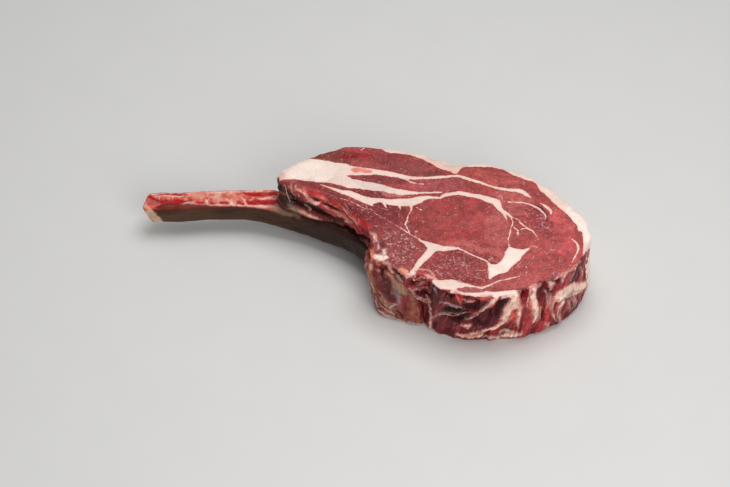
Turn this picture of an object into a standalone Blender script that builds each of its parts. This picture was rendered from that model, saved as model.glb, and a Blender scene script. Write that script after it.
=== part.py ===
"""A raw rib steak cut with its long rib left on, lying on one cut face.

The slice of muscle and fat carries the rib along its left edge. The rib is scraped clean where it
leaves the meat, and a block of backbone closes the near left corner. X runs along the rib, Z is up
through the thickness of the slice, and the floor is at Z = 0.
"""

import math

import bmesh
import bpy
import numpy as np
from mathutils import Vector, noise
from mathutils.geometry import delaunay_2d_cdt

MM = 0.001

# The slice of meat.
SLICE_THICKNESS = 55.0
SLICE_AROUND = 170
SLICE_CAP_SPACING = 6.0
SLICE_FOOT_ROUNDING = 4.0
SHOULDER_RINGS = 5
WALL_RINGS = 8
FOOT_RINGS = 3
WALL_RELIEF = 1.5
WALL_RELIEF_SPACING = 15.0
TOP_RELIEF = 0.7
TOP_RELIEF_SPACING = 34.0

# Stations round the upper edge of the slice, seen from above, against the clock from the tail.
# Each is x, y, how far the wall stands out below the edge, how far down it is fully out, and how
# far out the foot of the wall is.
SLICE_STATIONS = (
    (-66.5, 47.5, 3.0, 5.0, -3.0),
    (-64.0, 42.0, 7.0, 14.0, -1.0),
    (-52.0, 41.5, 14.0, 21.0, 1.0),
    (-36.0, 37.5, 16.5, 21.0, 1.0),
    (-20.0, 27.5, 13.5, 21.0, 1.0),
    (-9.0, 16.0, 10.0, 21.0, 1.0),
    (0.0, 2.0, 6.0, 19.0, 0.0),
    (4.5, -14.0, 3.0, 9.0, -3.0),
    (5.0, -32.0, 2.0, 4.0, -7.0),
    (8.0, -44.0, 2.0, 3.0, -8.0),
    (20.0, -51.0, 2.0, 3.0, -8.0),
    (35.0, -59.5, 2.0, 3.0, -6.0),
    (46.0, -62.5, -1.0, 9.0, 0.0),
    (57.0, -72.5, 3.0, 5.0, -0.5),
    (75.0, -79.5, 3.0, 4.0, 0.0),
    (96.0, -81.0, 3.0, 4.0, -2.0),
    (116.0, -75.5, 3.0, 4.0, 2.0),
    (137.0, -64.0, 3.0, 5.0, 5.0),
    (156.0, -49.5, 3.0, 5.0, 5.5),
    (166.5, -31.0, 3.0, 5.0, 5.5),
    (169.5, -8.0, 3.0, 5.0, 7.5),
    (161.5, 10.0, 2.5, 4.0, 2.0),
    (142.0, 34.0, 2.5, 4.0, 1.0),
    (120.0, 51.0, 2.5, 4.0, 0.0),
    (92.0, 61.5, 2.5, 4.0, 0.0),
    (73.0, 58.0, 2.5, 4.0, 0.0),
    (58.5, 62.5, 2.5, 4.0, 0.0),
    (38.5, 73.5, 2.5, 4.0, -1.0),
    (14.0, 79.5, 2.5, 4.0, -1.0),
    (-14.0, 81.5, 2.5, 4.0, -1.0),
    (-36.0, 72.5, 2.5, 4.0, -2.0),
    (-55.5, 59.0, 2.5, 4.0, -2.0),
)

# The muscles that swell above the cut face: x, y, half length, half width, turn in degrees, height.
MUSCLE_SWELLS = (
    (76.0, 21.0, 42.0, 34.0, -12.0, 1.3),
    (26.0, -12.0, 24.0, 34.0, 20.0, 0.9),
    (78.0, -46.0, 30.0, 18.0, -14.0, 1.0),
    (140.0, -18.0, 26.0, 44.0, 12.0, 0.9),
    (18.0, 66.0, 46.0, 12.0, -6.0, 1.1),
    (102.0, 48.0, 40.0, 10.0, -18.0, 0.8),
)

# The rib.
RIB_CORNER = 4.6
RIB_SECTION_STEPS = 5
RIB_RING_SPACING = 5.0
RIB_END_SLANT = 0.52
RIB_END_TURN = 0.24
RIB_END_REACH = 24.0
RIB_SPUR_DROP = 4.5
RIB_RELIEF = 0.45
RIB_RELIEF_SPACING = 14.0

# Stations along the middle of the rib from its cut end: x, y, thickness, under side, height.
RIB_STATIONS = (
    (-173.0, 46.8, 22.5, 12.0, 18.5),
    (-150.0, 46.8, 20.0, 12.0, 19.0),
    (-118.0, 49.5, 20.0, 12.0, 19.0),
    (-92.0, 49.0, 21.0, 12.0, 19.0),
    (-73.0, 46.5, 25.0, 11.5, 20.0),
    (-52.0, 36.5, 19.5, 9.8, 22.2),
    (-32.0, 25.5, 17.0, 9.8, 22.7),
    (-12.0, 12.8, 17.0, 12.0, 21.0),
    (4.0, -2.0, 17.0, 13.5, 20.0),
    (15.0, -17.0, 17.0, 13.5, 20.0),
)

# The block of backbone.
CHINE_HEIGHT = 48.5
CHINE_AROUND = 40
CHINE_CAP_SPACING = 7.0
CHINE_FOOT_ROUNDING = 3.0
CHINE_LEAN = (8.5, -5.0)
CHINE_RELIEF = 1.3
CHINE_RELIEF_SPACING = 13.0
CHINE_STATIONS = (
    (7.5, -12.0, 2.0, 5.0, 1.0),
    (4.5, -26.0, 3.0, 6.0, 1.0),
    (1.5, -37.0, 3.0, 7.0, 2.5),
    (5.5, -43.5, 3.0, 7.0, 4.5),
    (16.0, -47.5, 3.0, 6.0, 4.0),
    (27.0, -52.5, 3.0, 6.0, 4.0),
    (34.0, -53.0, 3.0, 7.0, 5.0),
    (35.0, -42.0, 2.0, 6.0, 2.0),
    (28.0, -26.0, 2.0, 6.0, 0.0),
    (16.0, -12.0, 2.0, 6.0, 0.0),
)

# The clearance between the meat and a bone, and between the two bones.
CLEARANCE = 0.45
CUTTER_BELOW_FLOOR = 3.0

MEAT_COLOUR = (0.33, 0.075, 0.075)
RIB_COLOUR = (0.36, 0.235, 0.165)
CHINE_COLOUR = (0.50, 0.31, 0.225)


def material(name, colour, roughness):
    made = bpy.data.materials.new(name)
    made.use_nodes = True
    shader = made.node_tree.nodes["Principled BSDF"]
    shader.inputs["Base Color"].default_value = (*colour, 1.0)
    shader.inputs["Roughness"].default_value = roughness
    shader.inputs["Metallic"].default_value = 0.0
    return made


def smooth_curve(stations, closed, fine=14):
    """Fine samples of a smooth curve through the stations. Every column is carried along."""
    rows = np.array(stations, float)
    if closed:
        rows = np.vstack([rows[-1:], rows, rows[:2]])
    else:
        rows = np.vstack([2 * rows[0] - rows[1], rows, 2 * rows[-1] - rows[-2]])
    u = np.linspace(0.0, 1.0, fine, endpoint=False)[:, None]
    pieces = []
    for a, b, c, d in zip(rows, rows[1:], rows[2:], rows[3:]):
        bend = (2 * a - 5 * b + 4 * c - d) * u**2 + (3 * b - a - 3 * c + d) * u**3
        pieces.append(b + 0.5 * ((c - a) * u + bend))
    return np.vstack(pieces + [rows[-2:-1]])


def even_samples(curve, count, closed):
    """Samples of the curve spaced evenly along its length in plan."""
    steps = np.hypot(*np.diff(curve[:, :2], axis=0).T)
    along = np.concatenate([[0.0], np.cumsum(steps)])
    stops = np.linspace(0.0, along[-1], count + 1 if closed else count)
    if closed:
        stops = stops[:-1]
    return np.stack([np.interp(stops, along, column) for column in curve.T], axis=1)


def outward(loop):
    """The plan normal of a closed loop that runs against the clock, smoothed over its neighbours."""
    tangent = np.roll(loop, -2, axis=0) - np.roll(loop, 2, axis=0)
    normal = np.stack([tangent[:, 1], -tangent[:, 0]], axis=1)
    return normal / np.hypot(*normal.T)[:, None]


def cloud(x, y, z, spacing):
    """A smooth random field between about -1 and 1, with humps this far apart in millimetres."""
    return noise.fractal(Vector((x, y, z)) / spacing, 1.0, 2.0, 3)


def wall_profile(station, height, foot_rounding, below):
    """Steps out and heights down a wall, from its upper edge to the edge of its foot. With a depth
    below the floor the foot runs straight down to it."""
    out, drop, foot = station[2:5]
    steps = []
    for k in range(SHOULDER_RINGS + 1):
        angle = 0.5 * math.pi * k / SHOULDER_RINGS
        steps.append((out * math.sin(angle), height - drop * (1.0 - math.cos(angle))))
    low = foot_rounding
    for k in range(1, WALL_RINGS):
        share = k / WALL_RINGS
        ease = share * share * (3.0 - 2.0 * share)
        steps.append((out + (foot - out) * ease, height - drop - (height - drop - low) * share))
    for k in range(FOOT_RINGS + 1):
        angle = 0.5 * math.pi * k / FOOT_RINGS
        if below:
            steps.append((foot, low - (low + below) * k / FOOT_RINGS))
        else:
            steps.append((foot - low * (1.0 - math.cos(angle)), low * (1.0 - math.sin(angle))))
    return steps


def inside(points, loop):
    """True where a point lies inside the loop."""
    x, y = points[:, 0][:, None], points[:, 1][:, None]
    x0, y0 = loop[:, 0], loop[:, 1]
    x1, y1 = np.roll(x0, -1), np.roll(y0, -1)
    straddles = (y0 > y) != (y1 > y)
    rise = np.where(y1 == y0, 1.0, y1 - y0)
    return (straddles & (x < x0 + (y - y0) * (x1 - x0) / rise)).sum(axis=1) % 2 == 1


def cap_points(loop, spacing):
    """Points of a triangular lattice inside the loop, clear of its edge."""
    low, high = loop.min(axis=0), loop.max(axis=0)
    rows = []
    for k, y in enumerate(np.arange(low[1], high[1], spacing * math.sqrt(0.75))):
        row = np.arange(low[0] + 0.5 * spacing * (k % 2), high[0], spacing)
        rows.append(np.stack([row, np.full(len(row), y)], axis=1))
    lattice = np.vstack(rows)
    lattice = lattice[inside(lattice, loop)]
    away = np.hypot(*(lattice[:, None] - loop[None]).transpose(2, 0, 1)).min(axis=1)
    return lattice[away > 0.7 * spacing]


def add_cap(mesh, ring, spacing, level, up):
    """Closes a ring of vertices with even triangles whose inner heights come from level(x, y)."""
    loop = np.array([vertex.co[:2] for vertex in ring])
    inner = cap_points(loop, spacing)
    flat = [Vector(point) for point in np.vstack([loop, inner])]
    rim = [(k, (k + 1) % len(ring)) for k in range(len(ring))]
    _, _, faces, origins, _, _ = delaunay_2d_cdt(flat, rim, [], 1, 1e-6)
    vertices = ring + [mesh.verts.new((x, y, level(x, y))) for x, y in inner]
    for face in faces:
        corners = [vertices[origins[k][0]] for k in face]
        mesh.faces.new(corners if up else corners[::-1])


def object_from(mesh, name, made):
    """The object of a mesh in millimetres."""
    bmesh.ops.scale(mesh, vec=(MM, MM, MM), verts=mesh.verts)
    bmesh.ops.recalc_face_normals(mesh, faces=mesh.faces)
    data = bpy.data.meshes.new(name)
    mesh.to_mesh(data)
    mesh.free()
    data.shade_smooth()
    placed = bpy.data.objects.new(name, data)
    bpy.context.collection.objects.link(placed)
    if made:
        data.materials.append(made)
    return placed


def slab(name, made, stations, around, height, rounding, spacing, relief, top, lean=(0, 0), grow=0):
    """A thick slice with a shaped wall. A grown one is the same slice swollen all round, cut below
    the floor as well."""
    loop = even_samples(smooth_curve(stations, True), around, True)
    normal = outward(loop[:, :2])
    mesh = bmesh.new()
    below = CUTTER_BELOW_FLOOR if grow else 0.0
    profiles = np.array([wall_profile(row, height, rounding, below) for row in loop])
    rings = []
    for level in range(profiles.shape[1]):
        ring = []
        for k in range(around):
            out, z = profiles[k, level]
            slope = 1.0 - z / height
            x = loop[k, 0] + normal[k, 0] * out + lean[0] * slope
            y = loop[k, 1] + normal[k, 1] * out + lean[1] * slope
            rough = relief(x, y, z) * min(1.0, max(0.0, z / rounding)) + grow
            z = z + top(x, y) * max(0.0, 1.0 - (height - z) / rounding)
            z += grow * (z > 0.5 * height)
            ring.append(mesh.verts.new((x + normal[k, 0] * rough, y + normal[k, 1] * rough, z)))
        rings.append(ring)
    for upper, lower in zip(rings, rings[1:]):
        for k in range(around):
            after = (k + 1) % around
            mesh.faces.new((upper[k], lower[k], lower[after], upper[after]))
    add_cap(mesh, rings[0], spacing, lambda x, y: height + top(x, y) + grow, True)
    add_cap(mesh, rings[-1], 1.6 * spacing, lambda x, y: -below, False)
    return object_from(mesh, name, made)


def slice_top(x, y):
    """How far the upper cut face stands above its level at a point."""
    swell = TOP_RELIEF * cloud(x, y, 0.0, TOP_RELIEF_SPACING)
    for cx, cy, long, wide, turn, height in MUSCLE_SWELLS:
        c, s = math.cos(math.radians(turn)), math.sin(math.radians(turn))
        dx, dy = x - cx, y - cy
        away = math.hypot((dx * c + dy * s) / long, (dy * c - dx * s) / wide)
        swell += height * max(0.0, 1.0 - away**2.5)
    return swell


def slice_relief(x, y, z):
    """The uneven wall of the slice: upright folds over broad humps."""
    folds = cloud(x, y, 0.35 * z, WALL_RELIEF_SPACING)
    humps = cloud(x + 90.0, y, z, 1.7 * WALL_RELIEF_SPACING)
    return WALL_RELIEF * (0.8 * folds + 0.7 * humps)


def chine_relief(x, y, z):
    """The worn facets of the sawn block."""
    return CHINE_RELIEF * cloud(x, y, z + 40.0, CHINE_RELIEF_SPACING)


def level_top(x, y):
    return 0.4 * cloud(x, y, 7.0, 12.0)


def rib_section(thickness, height, corner):
    """A rectangle with round corners about its middle, across and up, against the clock."""
    points = []
    for turn, (sx, sy) in enumerate(((1, -1), (1, 1), (-1, 1), (-1, -1))):
        for k in range(RIB_SECTION_STEPS):
            angle = math.radians(90.0 * (turn - 1 + k / (RIB_SECTION_STEPS - 1)))
            across = sx * (0.5 * thickness - corner) + corner * math.cos(angle)
            points.append((across, sy * (0.5 * height - corner) + corner * math.sin(angle)))
    return np.array(points)


def rib(name, made, grow=0.0):
    """The rib swept along its stations, with a slanting cut at the far end and a spur under it."""
    curve = smooth_curve(RIB_STATIONS, False)
    reach = np.hypot(*np.diff(curve[:, :2], axis=0).T).sum()
    path = even_samples(curve, int(reach / RIB_RING_SPACING), False)
    heading = np.gradient(path[:, :2], axis=0)
    heading /= np.hypot(*heading.T)[:, None]
    mesh = bmesh.new()
    rings = []
    for k, (x, y, thickness, under, height) in enumerate(path):
        across = np.array((-heading[k, 1], heading[k, 0]))
        section = rib_section(thickness + 2 * grow, height + 2 * grow, RIB_CORNER + grow)
        tip = max(0.0, 1.0 - k * RIB_RING_SPACING / RIB_END_REACH)
        narrow = 1.0 - 0.10 * tip**2
        ring = []
        for side, up in section * narrow:
            point = np.array((x, y, under + 0.5 * height))
            swell = 1.0 + RIB_RELIEF * cloud(x, y + side, up, RIB_RELIEF_SPACING) / math.hypot(side, up)
            point += np.array((across[0] * side, across[1] * side, up)) * swell
            point[0] += (RIB_END_TURN * side - RIB_END_SLANT * up) * tip
            corner = max(0.0, -2.0 * up / height) * max(0.0, -2.0 * side / thickness)
            point[2] -= RIB_SPUR_DROP * corner**2 * (k == 0)
            ring.append(mesh.verts.new(point))
        rings.append(ring)
    around = len(rings[0])
    for first, second in zip(rings, rings[1:]):
        for k in range(around):
            after = (k + 1) % around
            mesh.faces.new((first[k], first[after], second[after], second[k]))
    for ring in (rings[0], rings[-1]):
        middle = mesh.verts.new(sum((vertex.co for vertex in ring), Vector()) / around)
        for k in range(around):
            mesh.faces.new((ring[k], ring[(k + 1) % around], middle))
    return object_from(mesh, name, made)


def chine(name, made, grow=0.0):
    return slab(
        name,
        made,
        CHINE_STATIONS,
        CHINE_AROUND,
        CHINE_HEIGHT,
        CHINE_FOOT_ROUNDING,
        CHINE_CAP_SPACING,
        chine_relief,
        level_top,
        CHINE_LEAN,
        grow,
    )


def hide(cutter):
    cutter.hide_render = True
    cutter.display_type = "WIRE"


def cut(target, cutter):
    """Takes the cutter's shape out of the target."""
    modifier = target.modifiers.new("cut_" + cutter.name, "BOOLEAN")
    modifier.operation = "DIFFERENCE"
    modifier.solver = "EXACT"
    modifier.object = cutter


for old in list(bpy.data.objects):
    bpy.data.objects.remove(old, do_unlink=True)

rib_bone = rib("rib_bone", material("rib", RIB_COLOUR, 0.45))
chine_bone = chine("chine_bone", material("chine", CHINE_COLOUR, 0.42))
meat = slab(
    "meat",
    material("meat", MEAT_COLOUR, 0.38),
    SLICE_STATIONS,
    SLICE_AROUND,
    SLICE_THICKNESS,
    SLICE_FOOT_ROUNDING,
    SLICE_CAP_SPACING,
    slice_relief,
    slice_top,
)

rib_cutter = rib("rib_cutter", None, CLEARANCE)
chine_cutter = chine("chine_cutter", None, CLEARANCE)
hide(rib_cutter)
hide(chine_cutter)
cut(meat, rib_cutter)
cut(meat, chine_cutter)
cut(rib_bone, chine_cutter)

# The middle of the whole, seen from above, becomes the origin.
corners = np.array([vertex.co for piece in (meat, rib_bone) for vertex in piece.data.vertices])
middle = 0.5 * (corners.min(axis=0) + corners.max(axis=0))
for piece in (meat, rib_bone, chine_bone, rib_cutter, chine_cutter):
    piece.location = (-middle[0], -middle[1], 0.0)
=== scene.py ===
"""A raw rib steak with its long bone left on, lying on one cut face on a pale floor.

It is put together as it grew: the thick slice of muscle and fat, the rib that runs out of its left
side, and the sawn block of backbone at the near left corner. Lengths and places are in millimetres
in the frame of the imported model, and become metres where a mesh is made.
"""

import itertools
import math

import bpy
import numpy as np
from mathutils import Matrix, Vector


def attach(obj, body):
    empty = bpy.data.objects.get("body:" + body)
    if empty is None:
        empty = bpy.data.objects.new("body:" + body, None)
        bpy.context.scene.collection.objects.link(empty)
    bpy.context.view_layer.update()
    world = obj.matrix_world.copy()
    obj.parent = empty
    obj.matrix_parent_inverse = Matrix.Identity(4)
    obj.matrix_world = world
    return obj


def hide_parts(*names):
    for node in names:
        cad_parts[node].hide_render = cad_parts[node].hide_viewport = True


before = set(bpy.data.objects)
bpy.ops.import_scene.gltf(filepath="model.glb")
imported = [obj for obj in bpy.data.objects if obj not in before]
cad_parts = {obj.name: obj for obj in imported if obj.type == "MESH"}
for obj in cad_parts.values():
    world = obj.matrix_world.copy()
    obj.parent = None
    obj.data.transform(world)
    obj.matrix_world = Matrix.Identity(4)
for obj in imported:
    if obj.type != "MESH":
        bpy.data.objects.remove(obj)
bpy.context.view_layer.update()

# The slice of meat, its shape.
# One saw cut through the rib eye and the muscles round it, about 55 mm thick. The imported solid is
# wrapped in a skin of even squares, eased smooth, and later pressed into the relief of raw flesh.
MM = 0.001
SLICE_SQUARE = 0.6
SLICE_MIDDLE = (70.0, -5.0)
SIDE_RADIUS = 92.0
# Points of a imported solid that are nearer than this, in metres, are one point.
WELD_GAP = 2e-6
# Large numbers that scramble the cells of a noise.
NOISE_AXES = (73856093, 19349663, 83492791)
NOISE_MIX = 1274126177


def placed(name, data):
    """A new object in the scene that holds a mesh, a lamp or a camera."""
    made = bpy.data.objects.new(name, data)
    bpy.context.scene.collection.objects.link(made)
    return made


def skin_of(node, square):
    """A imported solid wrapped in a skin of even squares: its points in mm, and its faces."""
    wrap = placed("wrap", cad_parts[node].data.copy())
    wrap.modifiers.new("weld", "WELD").merge_threshold = WELD_GAP
    skin = wrap.modifiers.new("skin", "REMESH")
    skin.mode = "VOXEL"
    skin.voxel_size = square * MM
    bpy.context.view_layer.update()
    seen = wrap.evaluated_get(bpy.context.evaluated_depsgraph_get())
    mesh = seen.to_mesh()
    points = np.empty(len(mesh.vertices) * 3)
    mesh.vertices.foreach_get("co", points)
    corners = np.empty(len(mesh.loops), np.int32)
    mesh.loops.foreach_get("vertex_index", corners)
    seen.to_mesh_clear()
    bpy.data.objects.remove(wrap)
    return points.reshape(-1, 3) / MM, corners.reshape(-1, 4)


def eased(points, faces, rounds, hold=0.0):
    """The points drawn towards their neighbours. A hold of 1 keeps a point where it is."""
    start = faces.ravel()
    stop = np.roll(faces, -1, axis=1).ravel()
    count = np.bincount(start, minlength=len(points))[:, None]
    pull = 0.6 - 0.6 * np.broadcast_to(hold, (len(points),))[:, None]
    for _ in range(rounds):
        around = [np.bincount(start, points[stop, axis], len(points)) for axis in range(3)]
        points = points + (np.stack(around, 1) / count - points) * pull
    return points


def facing(points, faces):
    """The outward direction of the skin at each point."""
    flat = np.cross(points[faces[:, 2]] - points[faces[:, 0]], points[faces[:, 3]] - points[faces[:, 1]])
    spread = np.repeat(flat, 4, axis=0)
    total = [np.bincount(faces.ravel(), spread[:, axis], len(points)) for axis in range(3)]
    total = np.stack(total, 1)
    return total / np.maximum(np.linalg.norm(total, axis=1, keepdims=True), 1e-9)


def lumps(points, size, seed):
    """Smooth noise from -1 to 1. A swell is as long as size, one number or one for each axis."""
    where = points / size + np.array([7.31, 3.77, 5.13]) * seed
    cell = np.floor(where).astype(np.int64)
    part = where - cell
    part = part * part * (3 - 2 * part)
    total = np.zeros(len(points))
    for step in itertools.product((0, 1), repeat=3):
        x, y, z = ((cell + step) * NOISE_AXES).T
        mixed = x ^ y ^ z ^ seed
        mixed = (mixed ^ (mixed >> 13)) * NOISE_MIX
        value = ((mixed ^ (mixed >> 16)) & 65535) / 32767.5 - 1
        total += value * np.prod(np.where(step, part, 1 - part), axis=1)
    return total


def lumps_each_way(points, size, seeds):
    """Smooth noise of its own for each axis, one column for each seed."""
    return np.stack([lumps(points, size, seed) for seed in seeds], 1)


def step_up(value, low, high):
    """0 below low, 1 above high, and a soft step between them."""
    share = np.clip((value - low) / (high - low), 0, 1)
    return share * share * (3 - 2 * share)


slice_points, slice_faces = skin_of("meat", SLICE_SQUARE)
slice_normals = facing(slice_points, slice_faces)
steep = 1 - step_up(np.abs(slice_normals[:, 2]), 0.75, 0.97)
slice_points = eased(slice_points, slice_faces, rounds=3)
slice_points = eased(slice_points, slice_faces, rounds=24, hold=steep)
slice_normals = facing(slice_points, slice_faces)

across, deep, high = slice_points.T
upper_cut = step_up(slice_normals[:, 2], 0.35, 0.7) * step_up(high, 44, 50)
under_cut = step_up(-slice_normals[:, 2], 0.35, 0.7) * (1 - step_up(high, 5, 10))
side = 1 - upper_cut - under_cut
bearing = np.degrees(np.arctan2(deep - SLICE_MIDDLE[1], across - SLICE_MIDDLE[0]))
# Along the side, in mm round the slice, with the join where the rib and the backbone hide it.
round_side = np.radians(bearing) * SIDE_RADIUS

# The fat of the cut face.
# Seams of hard white fat part the muscles, and a cap of it covers the back of the slice. A seam is
# a line of x, y and half width, and runs right through the slice, so the under side shows it too.
TAIL_WEDGE = (
    (-72, 43), (-75, 50), (-69, 60), (-60, 67), (-50, 71), (-41, 68.5), (-33, 67), (-22, 63.5), (-12, 60.5),
    (-10, 50), (-14, 48.3), (-10, 45), (-10, 34), (-20, 37.5), (-34, 40.5), (-45, 42.5), (-58, 44),
)
FAT_CAP = (
    (18, 76), (25, 75), (33, 73.5), (40, 71), (46, 67.5), (54, 62), (60, 57), (67, 54.2), (74, 50),
    (79.5, 58), (93, 58.5), (101, 58.3), (107.8, 57.4), (112, 55.4), (117, 50.2), (122.5, 46.6),
    (127.8, 43.5),
    (135.8, 39.3), (139.2, 32), (143.6, 25.6), (147.5, 18.5), (153, 10.5), (157.5, 5), (160, 0.5), (162, -4),
    (164.5, -8.5), (165, -14), (168, -16), (168, -25), (168, -42), (185, -42), (185, 0), (170, 30),
    (130, 65), (95, 75), (70, 75), (40, 90), (10, 90),
)
FAT_TRIANGLE = (
    (111.5, -31), (116, -33.5), (121.5, -34.5), (127, -33), (121.5, -40), (118.5, -45), (112.5, -51.5),
    (108, -58), (102.5, -60.5), (97, -64), (94.5, -65.5), (94, -50), (97.5, -51), (101.5, -49.5),
    (105.5, -44), (107.5, -37.5), (110, -32.5),
)
UPPER_BANDS = (
    ((-15, 54.5, 5.5), (-3, 53, 4.7), (5, 52.3, 3.7), (13, 51.5, 2.8), (21, 50, 2.9), (29, 48, 2.5),
     (36.5, 46.2, 2.0), (45, 45.5, 1.6), (60.5, 46, 1.6), (74, 47.3, 1.4), (80.5, 44.5, 1.6),
     (92, 39.3, 1.3), (99.5, 35.6, 1.1), (107.5, 33, 1.4), (115.5, 31.5, 1.4), (121, 31, 1.9),
     (125.5, 29, 2.0), (131.5, 23, 0.6)),
    ((29, 46, 0.8), (33.5, 43.5, 0.7), (38, 40.5, 0.6), (47, 38, 0.4)),
    ((-11, 39.2, 5.5), (-3, 37.9, 4.7), (5, 35.7, 4.4), (13, 34, 3.9), (20.5, 31, 3.3), (28.5, 29, 3.2),
     (36.5, 28.3, 2.2), (44.5, 28.3, 1.1), (61, 27.8, 0.6)),
)
EYE_SEAM = (
    ((-34.5, 38.3, 0.2), (-26.5, 34, 1.1), (-18.5, 30.3, 1.7), (-11, 27.5, 3.2), (-3, 23, 3.3),
     (5, 19, 3.8), (12.5, 19.5, 2.4), (20.5, 17.5, 3.6), (28.5, 17.5, 4.2), (36, 17.8, 4.5),
     (41, 19.3, 4.2), (46, 21.5, 3), (52, 22.5, 1.8), (60, 21.8, 0.7)),
    ((60, 22.2, 0.6), (64, 24.8, 1.6), (74, 26.4, 1.9), (79.5, 25.5, 2.2), (87.5, 23.5, 2.4),
     (95, 21, 2.7), (99, 19, 3.5), (103, 17, 3.8), (105.5, 11, 2.4), (108.5, 5, 1.2), (111, -3, 0.4)),
    ((16, 16, 1.6), (17.5, 10.5, 0.2)),
    ((27.5, 15, 1.6), (28.5, 9.5, 0.3)),
    ((37, 15, 2), (37, 8.5, 0.5), (34.5, 3, 0.5), (33.5, -3, 0.6), (32.5, -8.5, 0.7), (35.5, -18, 0.3)),
    ((4, 17, 2.5), (6.5, 13.5, 0.4)),
    ((-18.5, 23, 0.2), (-11, 19, 0.25), (1, 10.5, 0.3), (12.5, 1, 0.3), (25, -9, 0.3), (35, -18, 0.4),
     (43, -24, 0.6)),
    ((41.5, 11.5, 0.6), (45, 9, 0.7)),
)
LOWER_SEAMS = (
    ((43, -25, 0.8), (48, -28, 2.0), (53, -31.5, 4.2), (60, -33.5, 3.0), (66, -33.5, 2.4), (72, -33.5, 0.9)),
    ((52, -34, 4.0), (48.5, -40, 3.0), (44, -46, 2.8), (40.5, -52, 2.2), (37.5, -58, 2.2), (34, -65, 2.8)),
    ((72, -34, 0.8), (77, -37, 0.6), (82, -41, 0.6), (88, -44.5, 0.8), (92.5, -47.5, 0.8),
     (94.5, -52.5, 0.8), (94.5, -65, 0.7)),
    ((52, -68, 1.5), (57, -70.7, 4.2), (64.5, -71, 5.2), (69.5, -72.5, 4.5), (75.5, -72, 1.8),
     (83, -74.3, 1.1), (88, -75, 0.8)),
    ((65.5, -78, 1.2), (75.5, -80.3, 1.2), (82.5, -81, 1.6), (90, -81, 2.7), (97.5, -81.5, 2.7),
     (105, -80.5, 2.6), (111, -79.5, 3.0), (116, -78.5, 2.0)),
    ((89, -74.5, 0.8), (94.5, -71.5, 0.7), (102, -67.5, 0.6), (108, -65.5, 0.5), (116.5, -62.5, 0.35)),
)
RIGHT_SEAMS = (
    ((107, 7.5, 1.1), (110.5, 4.5, 1.6), (114, 1.5, 0.8), (119, -1.5, 0.55), (121.5, -7, 0.5),
     (126, -12, 0.45), (131, -16, 0.2)),
    ((113, 17.8, 0.4), (118.5, 17.6, 0.6), (123.5, 17.6, 0.9), (128.5, 15.8, 0.7), (133.5, 13, 0.9),
     (138, 8.5, 1.1),
     (141, 3, 0.8), (141, -1.5, 0.2)),
    ((138, 16.5, 0.5), (142.5, 12.5, 1.5), (145.5, 8, 1.3), (145.5, 4, 0.4)),
    ((114, -8, 0.4), (112.5, -16, 0.35), (110.5, -25, 0.35), (111, -30, 0.6)),
    ((113, 3, 0.3), (115.5, -3.5, 0.45), (115, -9.5, 0.4), (118.5, -15, 0.45), (118, -19.5, 0.2)),
    ((117, -17.5, 0.2), (120.5, -13.5, 0.4), (126, -12.5, 0.5), (130, -16, 0.4), (133, -22.5, 0.35),
     (134, -28, 0.2)),
    ((159, -22.5, 0.3), (162.5, -27, 0.7), (163.5, -32.5, 0.8), (162, -38.5, 0.6), (158, -48, 0.3)),
    ((122.5, -52.5, 0.2), (123.5, -56.5, 0.3), (122, -60, 0.2)),
    ((-2, 78.8, 0.6), (0, 81, 0.6)),
)
# A strip of muscle that lies over the fat near the front edge.
MUSCLE_ISLAND = (((70, -76, 1.0), (79, -76.8, 2.6), (89, -78, 1.2)),)
# A deep crack between two muscles on the right, pressed in and painted near black as painted shade.
CRACK = (((135.5, 15, 0.5), (138.5, 11.5, 0.7), (141, 6, 0.7), (142.5, -3, 0.4)),)


def smooth(stations, closed=False):
    """Points along a smooth curve through the stations, whose other columns follow it."""
    rows = np.array(stations, float)
    if len(rows) == 1:
        return np.repeat(rows, 2, axis=0)
    if closed:
        rows = np.concatenate([rows[-1:], rows, rows[:2]])
    else:
        rows = np.concatenate([2 * rows[:1] - rows[1:2], rows, 2 * rows[-1:] - rows[-2:-1]])
    share = np.linspace(0, 1, 4, endpoint=False)[:, None]
    runs = []
    for a, b, c, d in zip(rows, rows[1:], rows[2:], rows[3:]):
        bend = (2 * a - 5 * b + 4 * c - d) * share**2 + (3 * b - a - 3 * c + d) * share**3
        runs.append(b + (c - a) * share / 2 + bend / 2)
    if not closed:
        runs.append(rows[-2:-1])
    return np.concatenate(runs)


def inside_lines(points, lines):
    """How deep each point lies inside lines of given half widths, in mm, and below 0 outside."""
    depth = np.full(len(points), -9.0)
    for line in lines:
        track = smooth(line)
        half = track[:, -1]
        track = track[:, :-1]
        spots = points[:, : track.shape[1]]
        reach = half.max() + 5
        close = ((spots > track.min(0) - reach) & (spots < track.max(0) + reach)).all(1)
        near = np.nonzero(close)[0]
        spots = spots[near]
        best = depth[near]
        for a, b, wide, next_wide in zip(track, track[1:], half, half[1:]):
            run = b - a
            share = np.clip((spots - a) @ run / max(run @ run, 1e-9), 0, 1)
            gap = np.linalg.norm(spots - a - share[:, None] * run, axis=1)
            best = np.maximum(best, wide + (next_wide - wide) * share - gap)
        depth[near] = best
    return depth


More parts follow.
